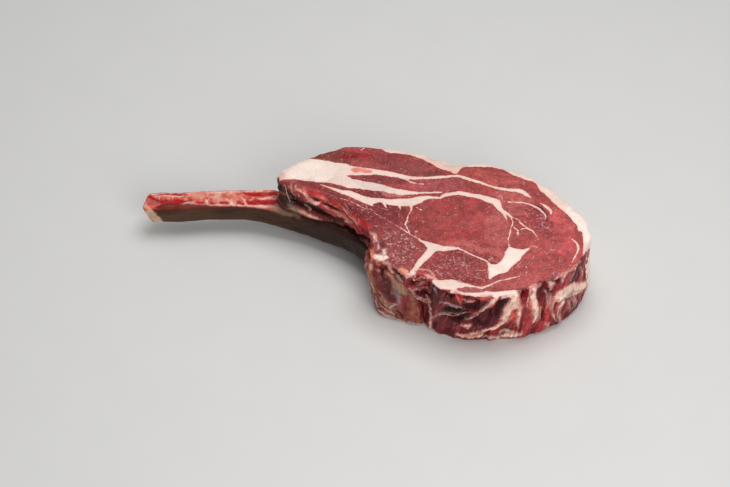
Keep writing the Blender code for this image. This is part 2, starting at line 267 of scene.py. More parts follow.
def inside_patch(points, outline):
    """How deep each point lies inside a closed outline, in mm, and below 0 outside it."""
    loop = smooth(outline, closed=True)
    depth = np.full(len(points), -9.0)
    close = ((points[:, :2] > loop.min(0) - 5) & (points[:, :2] < loop.max(0) + 5)).all(1)
    near = np.nonzero(close)[0]
    spots = points[near, :2]
    least = np.full(len(near), 99.0)
    within = np.zeros(len(near), bool)
    for a, b in zip(loop, np.roll(loop, -1, axis=0)):
        run = b - a
        share = np.clip((spots - a) @ run / max(run @ run, 1e-9), 0, 1)
        least = np.minimum(least, np.linalg.norm(spots - a - share[:, None] * run, axis=1))
        level = (spots[:, 1] - a[1]) / (run[1] if abs(run[1]) > 1e-9 else 1e-9)
        within ^= (level >= 0) & (level < 1) & (spots[:, 0] < a[0] + level * run[0])
    depth[near] = np.where(within, least, -least)
    return depth


# The cut lines wander a little, and drift sideways on their way down through the slice.
drift = 3.0 * (1 - step_up(high, 10, 52))
wander = lumps_each_way(slice_points, 6, (11, 12)) * 0.35
wander += lumps_each_way(slice_points, 2.2, (13, 14)) * 0.2
wander += lumps_each_way(slice_points, 26, (15, 16)) * drift[:, None]
seam_spots = np.column_stack([slice_points[:, :2] + wander, high])
fat_lines = UPPER_BANDS + EYE_SEAM + LOWER_SEAMS + RIGHT_SEAMS
cut_fat = inside_lines(seam_spots, fat_lines)
for outline in (TAIL_WEDGE, FAT_CAP, FAT_TRIANGLE):
    cut_fat = np.maximum(cut_fat, inside_patch(seam_spots, outline))
cut_fat = np.minimum(cut_fat, -inside_lines(seam_spots, MUSCLE_ISLAND))
crack = step_up(inside_lines(seam_spots, CRACK), -0.8, 0.5)

# The muscles of the cut face.
# Each muscle has its own red, from brown red where the air has dried it to rose beside the fat, and
# its own shares of thread marbling and of curled marbling. An area is x, y, half length, half width
# and turn.
FLESH_RED = (0.385, 0.058, 0.055)
MUSCLES = (
    ((74, -14, 42, 34, 0), (0.400, 0.051, 0.049), 0.18, 0.0),
    ((44, -10, 14, 30, 0), (0.330, 0.048, 0.046), 0.18, 0.0),
    ((84, -36, 30, 10, -18), (0.510, 0.114, 0.104), 0.26, 0.0),
    ((103, -14, 12, 22, 0), (0.490, 0.100, 0.095), 0.34, 0.0),
    ((-26, 70, 24, 10, 0), (0.225, 0.042, 0.030), 0.20, 0.0),
    ((22, 66, 30, 10, -8), (0.290, 0.046, 0.044), 0.30, 0.0),
    ((-11, 71, 9, 3.2, 8), (0.240, 0.006, 0.008), 0.0, 0.0),
    ((-3, 72, 11, 2.4, -3), (0.400, 0.008, 0.014), 0.0, 0.0),
    ((12, 44, 32, 6, -8), (0.250, 0.040, 0.040), 0.2, 0.0),
    ((46, 53, 22, 5, -4), (0.270, 0.048, 0.042), 0.3, 0.0),
    ((17, 27, 15, 3, -5), (0.560, 0.170, 0.155), 0.1, 0.0),
    ((58, 37, 26, 9, -4), (0.400, 0.078, 0.078), 0.3, 0.1),
    ((98, 47, 34, 9, -16), (0.430, 0.076, 0.066), 0.3, 0.0),
    ((118, 20, 16, 12, -20), (0.520, 0.110, 0.100), 0.5, 0.1),
    ((128, 2, 14, 14, 0), (0.410, 0.052, 0.054), 0.9, 0.35),
    ((118, 6, 9, 5, 0), (0.520, 0.110, 0.102), 0.5, 0.1),
    ((141, -8, 10, 17, 10), (0.350, 0.046, 0.060), 1.0, 0.5),
    ((153, -6, 9, 20, 15), (0.580, 0.098, 0.094), 0.6, 0.0),
    ((142, -40, 34, 22, 30), (0.450, 0.070, 0.068), 0.6, 0.1),
    ((112, -68, 20, 9, 15), (0.480, 0.088, 0.084), 0.35, 0.0),
    ((160, -36, 10, 18, 20), (0.600, 0.088, 0.092), 0.4, 0.0),
    ((2, 8, 38, 22, -38), (0.235, 0.026, 0.028), 0.75, 0.0),
    ((-24, 28, 26, 9, -28), (0.290, 0.040, 0.038), 0.6, 0.0),
    ((24, -34, 24, 22, 30), (0.310, 0.052, 0.050), 0.8, 0.75),
    ((74, -54, 26, 20, -10), (0.300, 0.034, 0.034), 0.8, 0.5),
    ((80, -78, 16, 5, 0), (0.380, 0.080, 0.080), 0.4, 0.1),
)
ragged = 0.30 * lumps(slice_points, 7, 17) + 0.22 * lumps(slice_points, 2.6, 18)


def inside_area(points, area):
    """1 well inside a turned oval and 0 outside it, with a soft ragged edge."""
    x, y, long, wide, turn = area
    turn = math.radians(turn)
    run = (points[:, 0] - x) * math.cos(turn) + (points[:, 1] - y) * math.sin(turn)
    rise = (points[:, 1] - y) * math.cos(turn) - (points[:, 0] - x) * math.sin(turn)
    return 1 - step_up(np.hypot(run / long, rise / wide) + ragged, 0.75, 1.15)


def blended(colour, other, share):
    """A colour at each point, moved towards another by a share."""
    return colour + (np.asarray(other, float) - colour) * share[:, None]


def plain(tint, points):
    """One colour at every point."""
    return np.tile(np.array(tint), (len(points), 1))


def painted_over(colour, coats):
    """The colour at each point under coats of other colours, each laid on by its share."""
    for other, share in coats:
        colour = blended(colour, other, share)
    return colour


flesh_colour = plain(FLESH_RED, slice_points)
marbling = np.full(len(slice_points), 0.35)
curls = np.zeros(len(slice_points))
for area, red, thread_share, curl_share in MUSCLES:
    held = inside_area(seam_spots, area)
    flesh_colour = blended(flesh_colour, red, held)
    marbling += (thread_share - marbling) * held
    curls += (curl_share - curls) * held
flesh_colour *= (1 + 0.14 * lumps(slice_points, 9, 21) + 0.14 * lumps(slice_points, 4, 22))[:, None]
# Painted shade: the crack is painted near black.
flesh_colour = blended(flesh_colour, (0.075, 0.010, 0.012), crack)

# The fat's own colour: cream, rosier beside the muscle, and stained by blood in a few places. At the
# right end of the cap it is whiter, partly as painted light.
FAT_CREAM = (0.890, 0.690, 0.605)
FAT_TINTS = (
    ((-40, 55, 24, 12, 0), (0.950, 0.780, 0.690)),
    ((-4, 54.6, 6, 3.2, 10), (0.800, 0.200, 0.150)),
    ((2.5, 52.6, 4.5, 2.2, -12), (0.830, 0.250, 0.190)),
    ((108, -45, 14, 20, -30), (0.960, 0.790, 0.710)),
    ((-67, 48, 5, 6, 0), (0.800, 0.500, 0.440)),
    ((60, 60, 30, 8, -20), (0.820, 0.560, 0.460)),
    ((150, 18, 12, 20, 40), (0.900, 0.690, 0.590)),
    # whiter cream at the right end of the cap, partly painted light
    ((168, -10, 12, 24, 0), (1.000, 0.860, 0.780)),
    ((10, 37, 20, 6, -20), (0.800, 0.640, 0.580)),
)
fat_colour = plain(FAT_CREAM, slice_points)
for area, tint in FAT_TINTS:
    fat_colour = blended(fat_colour, tint, inside_area(seam_spots, area))
fat_colour *= (1 + 0.05 * lumps(slice_points, 7, 23))[:, None]

# The side of the slice.
# Where the knife has parted the slice from the rest of the animal the side is ragged: hollows darkened
# with painted shade, cream fat and sinew, bright flesh, and grey silverskin partly painted as a wet sheen.
# Each line is x, y, z and half width.
SIDE_RED = (0.235, 0.015, 0.022)
SIDE_FAT = (
    ((49, -62.5, 31, 2.0), (50, -64, 25, 1.8), (51.5, -66.5, 17, 1.6), (51.5, -66.5, 8, 1.5),
     (52.5, -67, 2, 1.2)),
    ((77, -81, 28, 0.8), (83, -83, 33.5, 1.0), (87.5, -84.5, 40, 1.4), (92, -84.5, 46, 1.9),
     (98, -83, 53.5, 2.2)),
    ((105, -80, 54, 4.0), (112.5, -80.5, 52.5, 3.5), (111.5, -80.5, 44.5, 4.2), (108, -80, 38, 3.6),
     (106.5, -79.5, 30.5, 3.0), (105.5, -79, 23, 2.6), (101, -79, 17.5, 2.0), (95, -80, 14.5, 1.5),
     (88.5, -80.5, 13, 1.4), (81, -80, 11, 1.2)),
    ((114.5, -80, 47.5, 2.0), (116, -79, 37.5, 2.0), (116.5, -77.5, 25, 1.8), (116.5, -77, 15.5, 1.4)),
    ((92, -79.5, 5.5, 0.8), (100, -79.5, 5.5, 1.2), (108, -79, 7, 2.0), (115.5, -77, 6.5, 2.4),
     (120, -76.5, 8, 1.4)),
    ((126.5, -72, 54.5, 1.8), (127, -74, 49.5, 2.8), (127, -74.5, 42.5, 3.4), (128.5, -73.5, 34, 3.6),
     (130.5, -73, 24.5, 2.8), (130.5, -73.5, 17, 1.6)),
    ((141.5, -64, 48, 2.2), (141.5, -64.5, 43, 1.6)),
    ((145.5, -63, 31.5, 2.4), (149, -60.5, 33.5, 4.5), (155, -56.5, 32.5, 5.5), (161, -50, 29, 5.0),
     (166.5, -43, 24, 4.0), (172, -33, 15.5, 3.0)),
    ((144, -64, 29.5, 1.8), (143.5, -65.5, 22, 1.4), (145, -66, 14.5, 1.0), (148, -65, 8, 0.9)),
    ((151.5, -59.5, 23.5, 2.4), (149.5, -62, 18, 2.0), (149.5, -63.5, 11.5, 1.3), (150.5, -63, 6, 1.0)),
    ((156.5, -55.5, 21, 0.7), (156.5, -56, 17, 0.6), (158, -55, 12, 0.5)),
    ((139.5, -69, 10, 1.6), (141.5, -68, 5.5, 1.2)),
    ((72.5, -79.5, 9, 1.6), (76.5, -80, 7.5, 2.2), (81, -80, 6, 2.2), (85.5, -80, 7.5, 2.0),
     (89.5, -80, 9.5, 1.5)),
    ((75, -80.5, 20.5, 1.4), (79, -81, 21, 1.8), (78.5, -80.5, 17, 1.3)),
    ((74, -82, 49, 0.8), (78.5, -82.5, 48.5, 1.1), (82, -83.5, 48.5, 0.9)),
    ((155, -49, 55, 1.4), (159, -47, 55, 1.6), (161.5, -48.5, 52.5, 1.2)),
    ((153, -55.5, 54.5, 1.0), (151, -58.5, 51, 0.9), (149.5, -59.5, 46.5, 0.8)),
    ((160, -51, 52, 0.8), (158.5, -52.5, 45.5, 0.7), (157.5, -54, 41.5, 0.6)),
    ((165.5, -43.5, 44, 0.8), (167, -42, 35, 0.8)),
    ((172.5, -30.5, 26, 1.0), (173, -30.5, 17.5, 1.2), (173, -32, 10, 1.6)),
    ((37, -61, 53.5, 1.0), (42.5, -59.5, 55, 1.0), (48.5, -58.5, 55, 0.9)),
    ((38, -61, 50, 1.0), (43, -61, 51, 1.1), (49.5, -62.5, 55, 1.0)),
    ((36.5, -59.5, 36.5, 0.9), (42, -60.5, 41, 0.9), (46.5, -61.5, 43, 0.8)),
    ((-50.5, 35, 52, 0.8), (-46.5, 31.5, 50.5, 1.2), (-44, 28.5, 48, 0.9)),
    ((-63.5, 42.5, 55, 0.8), (-59, 38.5, 53, 0.6), (-53.5, 35, 51.5, 0.7), (-48, 31.5, 50, 0.8),
     (-43.5, 28.5, 48.5, 0.8), (-37.5, 25, 47, 1.4), (-34.5, 25, 48.5, 0.8)),
    ((-58.5, 43, 55, 0.5), (-56, 35.5, 51.5, 0.6)),
    ((-16.5, 15, 50, 0.6), (-10.5, 10, 48.5, 0.7), (-4.5, 0.5, 49, 0.6)),
    ((-30.5, 21.5, 46.5, 0.5), (-22.5, 17, 45.5, 0.5), (-14.5, 11.5, 44, 0.7), (-9, 6, 44.5, 0.6)),
    ((-14.5, 10.5, 41.5, 1.0), (-11, 8, 44, 0.8)),
    ((-50.5, 27, 36.5, 1.0), (-41, 23, 35, 0.8), (-33, 20.5, 34, 0.6)),
    ((-26.5, 26, 54, 0.5), (-14.5, 19, 54, 0.5), (-4.5, 11.5, 55, 0.5)),
    ((29.5, -57.5, 54.5, 2.2), (33.5, -59.5, 54.5, 2.0)),
    ((8.5, -40, 55, 2.0), (12.5, -41.5, 55, 3.0), (16, -44.5, 55, 2.2)),
    ((10, -17, 55.5, 1.8), (12.5, -22.5, 55.5, 1.2), (13, -27.5, 55.5, 0.8)),
)
# Hollows of the side, each pressed in and painted near black as painted shade.
SHADED_HOLLOWS = (
    ((60.5, -77.5, 51.5, 2.5), (63.5, -79.5, 50, 2.5)),
    ((66.5, -80, 51.5, 1.4),),
    ((84, -84, 50.5, 2.6), (82.5, -83.5, 44, 4.0), (76.5, -82.5, 41.5, 3.0)),
    ((88, -82, 24, 6.0), (91, -83.5, 32.5, 7.0), (96, -83, 36.5, 6.0), (101.5, -81.5, 40.5, 3.5),
     (103, -81.5, 46, 2.0)),
    ((63, -76.5, 33.5, 1.8), (71, -80.5, 36.5, 1.8)),
    ((65.5, -76.5, 25, 2.0), (72.5, -80, 27.5, 3.0), (76.5, -82, 35.5, 3.0)),
    ((119.5, -76, 54, 3.6), (119, -78, 49.5, 2.4)),
    ((140.5, -64.5, 51.5, 3.0), (136, -67, 50, 3.8), (135, -68.5, 45, 3.8), (133.5, -70, 39, 2.6)),
    ((146.5, -62, 49, 2.4), (148.5, -60.5, 48.5, 2.0)),
    ((108, -78.5, 16, 1.2), (112.5, -78, 17, 1.8), (116, -77, 13, 1.4)),
    ((137, -68.5, 28.5, 0.8), (136.5, -69.5, 22, 0.9), (137, -70, 13.5, 0.8)),
    ((37, -61, 46, 2.4), (42.5, -61, 44.5, 2.8), (47.5, -62, 47, 2.2)),
    ((43, -60, 34, 2.0), (49, -62.5, 35.5, 2.2)),
    ((-62.5, 39, 52.5, 2.2), (-58.5, 33, 46.5, 3.0), (-53, 29.5, 42, 2.4), (-42.5, 25, 41, 2.2),
     (-33, 20.5, 39.5, 2.0), (-24.5, 16.5, 36.5, 1.6)),
    ((-22, 18.5, 49.5, 1.0), (-17, 14.5, 48.5, 1.2), (-9, 7, 47, 1.0)),
    ((-15, 9.5, 35, 2.0), (-6, 1.5, 36, 2.4), (1, -10, 43, 2.4), (5.5, -27, 55, 2.0)),
    ((-53.5, 41, 55, 1.6), (-48, 39.5, 54.5, 1.6)),
    ((22, -53.5, 52, 1.4), (24.5, -54.5, 50, 2.2), (26.5, -56, 48.5, 1.6)),
)
SIDE_BRIGHT = (
    ((60, -76.5, 53.5, 2.0), (63.5, -78, 54, 1.6)),
    ((73, -81, 54, 1.5), (70, -81, 51.5, 2.4), (71, -81.5, 47.5, 2.2)),
    ((85, -83, 54, 2.2),),
    ((89.5, -84, 53, 1.4), (91.5, -83, 54, 1.6), (95, -83, 54, 1.4)),
    ((119, -78, 45.5, 1.8),),
    ((112.5, -79, 31, 1.8), (113.5, -78.5, 26, 1.6)),
    ((123, -76.5, 43.5, 0.9), (124.5, -75.5, 34, 1.1), (123.5, -75.5, 24, 1.1)),
    ((139, -67, 29, 1.4), (140, -68.5, 15, 1.2)),
    ((161, -51, 19.5, 2.2), (158, -55, 16, 1.8), (156, -57.5, 11, 2.0)),
    ((-46.5, 36.5, 54, 2.0), (-41, 33.5, 53.5, 2.2), (-34.5, 29, 52.5, 1.8), (-29.5, 25, 51.5, 1.4)),
    ((-26.5, 21.5, 49.5, 1.4), (-21, 18.5, 50.5, 1.8), (-14.5, 13.5, 48.5, 1.6), (-7.5, 6, 49, 1.4),
     (-3, -1, 50.5, 1.6), (2, -9, 53, 2.2)),
    ((-32, 22.5, 46.5, 0.8), (-24, 18, 45.5, 1.0), (-14.5, 11, 43, 1.2), (-6, 1.5, 43, 1.4),
     (-1.5, -6, 45.5, 1.4)),
)
# Grey silverskin on the side, its grey partly a painted wet sheen.
SILVERSKIN_AND_SHEEN = (
    ((57.5, -75, 41, 1.0), (63, -78.5, 41.5, 1.6), (68.5, -80, 40, 1.8), (74.5, -82, 39, 1.0)),
    ((53.5, -69.5, 17, 0.9), (60, -74.5, 27, 1.0), (68, -78.5, 29, 1.0), (74.5, -81.5, 35.5, 0.9)),
    ((52.5, -72, 49.5, 2.0), (53.5, -72.5, 43, 2.0)),
    ((-56.5, 30, 37, 0.8), (-46.5, 25.5, 35.5, 0.9), (-36.5, 21.5, 34.5, 0.7)),
)

# Single touches of colour on the side and over the backbone: painted shade in pockets, hollows and creases,
# folds of bright flesh, knobs of fat and torn films. A touch is its colour, its soft edge, its share and its
# lines. The ridge of the backbone runs over both the slice and the bone.
BACKBONE_RIDGE = ((0.62, 0.33, 0.24), 1.6, 0.85, (
    ((15.5, -47.5, 55, 1.2), (18.5, -50.5, 53.5, 1.6), (21.5, -52.5, 50.5, 1.4), (25, -55, 46, 1.4),
     (28.5, -56.5, 43, 1.2)),
))
SLICE_TOUCHES = (
    BACKBONE_RIDGE,
    # painted shade in the clefts beside the backbone
    ((0.055, 0.004, 0.005), 1.0, 0.95, (
        ((22, -53.5, 52, 1.4), (24.5, -54.5, 50, 2.2), (26.5, -56, 48.5, 1.6)),
        ((12.5, -48.5, 49.5, 0.8), (13.5, -49, 48, 0.8)),
    )),
    ((0.82, 0.24, 0.13), 1.5, 0.9, (
        ((5.5, -36, 54.5, 1.4), (6.5, -42, 54.5, 2.2), (5.5, -43, 50, 1.6)),
        ((9.5, -47.5, 53.5, 1), (11.5, -48.5, 52.5, 0.8)),
    )),
    ((0.95, 0.68, 0.6), 1.2, 0.95, (
        ((9.5, -41.5, 55, 1.8), (12.5, -43.5, 55, 2.8), (16, -42.5, 55, 2)),
        ((15.5, -35, 55, 1), (16, -39, 55, 1.2)),
    )),
    # painted shade beside the knob of fat
    ((0.24, 0.07, 0.06), 1.0, 0.85, (
        ((9.5, -35.5, 55, 1), (11.5, -38, 55, 1.2)),
    )),
    ((0.9, 0.36, 0.23), 1.4, 0.95, (
        ((28, -56, 55, 1.6), (30.5, -58, 54.5, 2.4), (32.5, -60, 53.5, 1.4)),
    )),
    ((0.92, 0.66, 0.56), 1.2, 0.95, (
        ((32.5, -60, 51.5, 1), (35, -60.5, 54, 1.6), (37, -58.5, 55, 1.4)),
    )),
    # painted shade in the pockets beside the backbone
    ((0.09, 0.004, 0.007), 1.8, 0.95, (
        ((35.5, -60.5, 45.5, 2.5), (39.5, -60.5, 43.5, 3.2), (44, -60.5, 46.5, 2.2), (49, -64.5, 50.5, 1.6)),
        ((40, -59.5, 33.5, 1.6), (43.5, -60, 32, 2), (48, -61.5, 32.5, 1.8)),
        ((50.5, -67, 47, 1.5), (53, -71.5, 45, 2), (55, -73.5, 40.5, 2)),
    )),
    ((0.46, 0.04, 0.045), 1.6, 0.85, (
        ((36, -59.5, 40, 1.6), (39, -60.5, 42, 1.2)),
        ((40, -58.5, 55.5, 1.2), (43, -61, 55.5, 1.8), (46, -59.5, 55, 1.2)),
        ((47.5, -62.5, 52, 1), (50.5, -67, 54.5, 1.4)),
    )),
    ((0.86, 0.33, 0.30), 1.0, 0.9, (
        ((38, -61, 51.5, 0.6), (41.5, -61, 50, 0.9), (45.5, -61.5, 53, 1), (48, -62.5, 55.5, 1.6),
         (52, -64.5, 55, 1.2)),
        ((41, -56, 55, 0.7), (45.5, -56, 55, 0.8), (50, -58.5, 55, 0.8), (52.5, -62.5, 55, 0.9)),
        ((43.5, -60.5, 41.5, 1.2), (46.5, -61.5, 44, 1.6), (48, -62, 44, 1)),
    )),
    ((0.62, 0.35, 0.29), 0.9, 0.85, (
        ((34.5, -58.5, 38, 0.8), (37.5, -59, 33, 1.1), (40.5, -59, 28.5, 1.3), (45, -60.5, 26.5, 1.2),
         (50.5, -64.5, 29.5, 0.9)),
        ((36.5, -59, 35, 0.5), (39.5, -60, 38.5, 0.8), (42.5, -60, 37.5, 0.6)),
    )),
    ((0.85, 0.6, 0.52), 0.9, 0.8, (
        ((53.5, -65.5, 55, 1), (55.5, -71, 55, 1.1), (57.5, -74.5, 54.5, 0.8)),
        ((52, -69.5, 54.5, 0.7), (53.5, -72, 53.5, 0.7)),
    )),
    ((0.055, 0.018, 0.013), 2.4, 0.9, (
        ((-67, 44, 50, 2.0), (-67.5, 41, 44, 2.5), (-65.5, 37, 38, 2.5), (-62, 33, 34, 2.0),
         (-52, 28, 32, 1.5)),
    )),
    ((0.1, 0.035, 0.025), 2.0, 0.8, (
        ((-64, 39.5, 52, 2.5), (-61, 35.5, 49, 3), (-58.5, 32.5, 45.5, 3)),
    )),
    # painted shade along the top of the flank, under the edge of the fat
    ((0.19, 0.012, 0.015), 1.6, 0.8, (
        ((-61.5, 40.5, 54.5, 1.6), (-50.5, 39.5, 54.5, 2), (-38, 36, 54.5, 1.8), (-26.5, 29.5, 54.5, 1.8),
         (-18.5, 24, 54.5, 1.6)),
    )),
    # painted shade in the long groove along the flank
    ((0.03, 0.01, 0.007), 1.8, 0.9, (
        ((-58.5, 32.5, 44.5, 2), (-53, 30.5, 44.5, 3), (-46.5, 27, 43, 3), (-39.5, 24, 43, 3),
         (-33, 21, 40.5, 2.6), (-25, 17, 39.5, 2.2), (-17, 11.5, 40.5, 2)),
    )),
    ((0.25, 0.18, 0.125), 2.0, 0.65, (
        ((-59.5, 31.5, 40, 1), (-56.5, 30, 37, 2), (-51.5, 27.5, 36, 1.6), (-46, 25.5, 36, 1)),
    )),
    ((0.55, 0.034, 0.032), 2.4, 0.75, (
        ((-44, 32.5, 52, 2), (-38.5, 30, 52, 3.2), (-33, 26.5, 51.5, 2.2)),
        ((-29, 23, 49.5, 1.8), (-23.5, 19.5, 49.5, 2.4), (-18, 15.5, 49, 1.8)),
        ((-9, 8, 48.5, 1.6), (-3, 0, 51.5, 2.2), (3.5, -8.5, 54.5, 2.6)),
    )),
    ((0.60, 0.085, 0.07), 1.0, 0.85, (
        ((-33, 22.5, 45.5, 1.2), (-26.5, 19.5, 46, 1.4), (-20, 15, 46, 1.3), (-14, 11, 44.5, 1.2)),
        ((-30, 20, 43, 0.9), (-25, 17.5, 42.5, 1.1), (-22, 15.5, 42.5, 0.9)),
    )),
    # painted shade in the creases between the folds of the flank
    ((0.045, 0.004, 0.004), 1.0, 0.95, (
        ((-44, 28.5, 48, 1), (-39.5, 27, 48.5, 1.4), (-34.5, 26, 50, 1)),
        ((-30.5, 23, 48.5, 1), (-24, 19, 47.5, 1.4), (-17, 14, 47, 1.2), (-11, 8.5, 46, 1), (-6, 3, 48, 0.7)),
    )),
    ((0.84, 0.46, 0.37), 0.8, 0.9, (
        ((-54.5, 38, 53.5, 0.5), (-52, 35, 52, 1), (-47, 33.5, 52, 1.8), (-45, 30, 49, 1.1),
         (-41.5, 27, 47.5, 1), (-37.5, 25, 47, 0.7)),
        ((-33, 26.5, 51.5, 0.7), (-29.5, 24, 50.5, 1)),
    )),
    ((0.88, 0.34, 0.27), 0.7, 0.9, (
        ((-17, 15.5, 50, 0.9), (-14, 13, 49, 1.2), (-11, 9, 47.5, 1), (-7, 4, 48, 0.8),
         (-3.5, -0.5, 49, 0.6)),
    )),
    ((0.46, 0.24, 0.14), 0.5, 0.8, (
        ((-57.5, 42, 55, 0.3), (-57.5, 37, 52.5, 0.4), (-56, 33.5, 49, 0.3)),
        ((-59, 38.5, 53, 0.3), (-61.5, 36, 49, 0.4)),
        ((-53.5, 36.5, 52.5, 0.3), (-52, 32.5, 49, 0.4)),
        ((-63, 40, 53.5, 0.3), (-61.5, 37, 50.5, 0.3)),
    )),
    ((0.62, 0.42, 0.33), 0.6, 0.8, (
        ((-52.5, 28, 36.5, 0.6), (-47.5, 26, 36.5, 0.7), (-42.5, 24, 34, 0.6), (-35.5, 21.5, 33.5, 0.4)),
        ((-48, 27, 41, 0.4), (-42.5, 24.5, 39, 0.5)),
    )),
    ((0.72, 0.48, 0.41), 0.8, 0.9, (
        ((5.5, -16.5, 55, 0.8), (8.5, -19, 55.5, 1.4), (9.5, -25.5, 55, 0.9)),
        ((11, -26.5, 55, 0.7), (11.5, -34, 55, 0.7)),
    )),
    # painted shade in the pocket by the near left corner
    ((0.07, 0.006, 0.008), 1.2, 0.8, (
        ((0, -8.5, 46, 1), (3.5, -19, 50, 1.4), (5.5, -31.5, 55, 1.6)),
        ((13, -27.5, 55.5, 1.6), (15.5, -31, 55.5, 1.6)),
    )),
    ((0.58, 0.05, 0.045), 1.4, 0.8, (
        ((68.5, -79.5, 54.5, 1.2), (71, -81, 52, 2.2), (72, -81.5, 47, 1.8)),
        ((85, -83.5, 52.5, 0.8), (90, -83.5, 53.5, 1.4), (95, -83, 54, 1)),
    )),
    ((0.3, 0.03, 0.03), 2.0, 0.7, (
        ((58, -73, 15.5, 2), (64, -75.5, 14.5, 2.5), (71.5, -79.5, 16.5, 2.5)),
        ((118.5, -77, 20, 2), (126.5, -74.5, 14, 3), (134.5, -71.5, 11.5, 2)),
    )),
    # painted shade in the deep pockets of the front side
    ((0.095, 0.008, 0.012), 2.4, 0.95, (
        ((83.5, -81.5, 24, 3), (92, -82, 28, 5), (99.5, -81.5, 35, 4.6), (103.5, -81.5, 45, 2.4)),
        ((79.5, -83, 46.5, 2.2), (86.5, -84.5, 47, 2.6), (91, -84.5, 48, 1.6)),
    )),
    ((0.17, 0.016, 0.02), 2.0, 0.5, (
        ((87.5, -82, 25.5, 1.5), (95, -83, 33, 1.5), (100.5, -82, 41, 1)),
    )),
    ((0.62, 0.075, 0.045), 1.4, 0.85, (
        ((111, -79.5, 33.5, 1), (113.5, -78.5, 28.5, 2), (113, -78.5, 22.5, 1.4)),
        ((125.5, -75, 40, 0.8), (126, -75, 33, 0.8)),
        ((138, -67.5, 30.5, 1), (138, -68.5, 24, 1.2)),
    )),
    # painted shade in the pockets of the front side
    ((0.13, 0.004, 0.008), 1.6, 0.9, (
        ((116.5, -78, 54, 2), (120.5, -77, 51.5, 3.4), (120.5, -77.5, 44.5, 2.4)),
        ((132.5, -69, 53, 2.6), (136.5, -67.5, 45, 3.6), (133.5, -70, 41, 2.6), (132.5, -71, 36, 1.4)),
        ((118.5, -77, 9.5, 1.4), (119, -76.5, 15, 1.4)),
    )),
    ((0.46, 0.33, 0.36), 0.8, 0.8, (
        ((140, -65, 46.5, 0.8), (142, -64, 44.5, 1.3)),
    )),
    ((0.9, 0.62, 0.42), 1.4, 0.8, (
        ((164.5, -46.5, 21, 1.4), (170.5, -36.5, 14, 1.8)),
    )),
    ((0.30, 0.022, 0.024), 1.4, 0.85, (
        ((91.5, -80, 9.5, 1.2), (97.5, -79, 10.5, 2), (103.5, -79, 13, 1.6)),
        ((108, -78.5, 16, 2), (113, -78, 18, 2.4), (116, -77, 13, 1.8)),
    )),
    ((0.62, 0.48, 0.41), 0.9, 0.85, (
        ((91, -79.5, 5, 0.7), (100, -79.5, 5.5, 1), (110, -78.5, 5.5, 1.2), (118.5, -77, 5.5, 1)),
        ((104, -79, 10.5, 1), (108.5, -78.5, 11.5, 1.6), (113, -77.5, 9.5, 1.2)),
    )),
    ((0.74, 0.36, 0.28), 1.0, 0.85, (
        ((74, -79.5, 8, 1.4), (79.5, -80, 7.5, 2), (85.5, -80, 8.5, 1.6)),
        ((75, -80.5, 20.5, 1.2), (79, -81, 19.5, 1.6)),
    )),
    # painted shade deepest in a pocket of the front side
    ((0.055, 0.005, 0.007), 2.2, 0.75, (
        ((86, -82, 25.5, 2.5), (91, -83, 31, 3), (96, -83, 36.5, 2.6), (100.5, -82.5, 43.5, 2)),
    )),
    # painted shade low on the front side beside the backbone
    ((0.07, 0.008, 0.01), 2.0, 0.7, (
        ((54, -70, 8, 2), (62, -74.5, 16, 2.6), (68, -77.5, 17, 2)),
        ((60, -73, 6, 2), (66, -76, 9, 2)),
    )),
    ((0.2, 0.016, 0.02), 1.4, 0.75, (
        ((151, -62.5, 8.5, 1.6), (156, -57.5, 6.5, 1.8), (160, -54, 8.5, 1.4)),
        ((148, -65, 6.5, 1.4), (153, -60.5, 4, 1.2)),
    )),
    ((0.8, 0.3, 0.26), 1.4, 0.6, (
        ((138.5, -68, 24.5, 1.2), (141.5, -65.5, 29, 1.4), (144.5, -63.5, 32, 1)),
    )),
    ((0.42, 0.03, 0.028), 1.8, 0.75, (
        ((-49, 36.5, 52, 1.8), (-42.5, 33, 51, 2.2), (-36, 29, 50.5, 1.8)),
    )),
    ((0.8, 0.42, 0.36), 0.7, 0.75, (
        ((124, -75, 52.5, 0.5), (122.5, -76.5, 44.5, 0.6), (122.5, -76.5, 35.5, 0.5)),
        ((136.5, -69, 29, 0.4), (133, -72, 21, 0.6), (130.5, -73.5, 17, 0.5)),
        ((137.5, -67, 42.5, 0.5), (139.5, -66.5, 33, 0.6), (139.5, -67.5, 24, 0.5)),
        ((155.5, -56, 25, 0.5), (159, -54, 15.5, 0.6), (159.5, -55, 8, 0.5)),
        ((163, -49, 19, 0.4), (164.5, -48, 10, 0.5)),
    )),
    ((0.85, 0.62, 0.6), 1.0, 0.8, (
        ((130.5, -73, 23.5, 1.6), (130.5, -73.5, 18, 1.4)),
    )),
    ((0.66, 0.3, 0.25), 1.4, 0.7, (
        ((140, -65.5, 37.5, 1.4), (142.5, -65.5, 28.5, 1.6), (144, -65.5, 19, 1.2)),
        ((160, -52, 20, 1.2), (163.5, -49.5, 11.5, 1.4), (162, -51.5, 7, 1)),
        ((133.5, -71, 29, 1), (135, -71, 18.5, 1.2)),
    )),
    ((1.0, 0.76, 0.62), 1.4, 0.8, (
        ((146.5, -62.5, 29, 1.6), (151, -59.5, 29, 2.4), (158, -54, 26, 2.6), (165, -45.5, 21.5, 2.2),
         (171, -36, 17.5, 1.6)),
    )),
    # painted shade in the pockets of the front side
    ((0.035, 0.006, 0.006), 1.4, 0.9, (
        ((60, -75, 32.5, 1.2), (65, -77.5, 32, 1.8), (71, -80.5, 34.5, 1.8), (75, -82, 40, 1.2)),
        ((67, -77, 22.5, 1), (71.5, -79.5, 22.5, 1.4)),
    )),
    ((0.9, 0.36, 0.32), 1.0, 0.85, (
        ((43.5, -60.5, 41.5, 1), (46.5, -61.5, 43, 1.4), (48.5, -63, 43, 1)),
    )),
    ((0.86, 0.42, 0.38), 1.1, 0.6, (
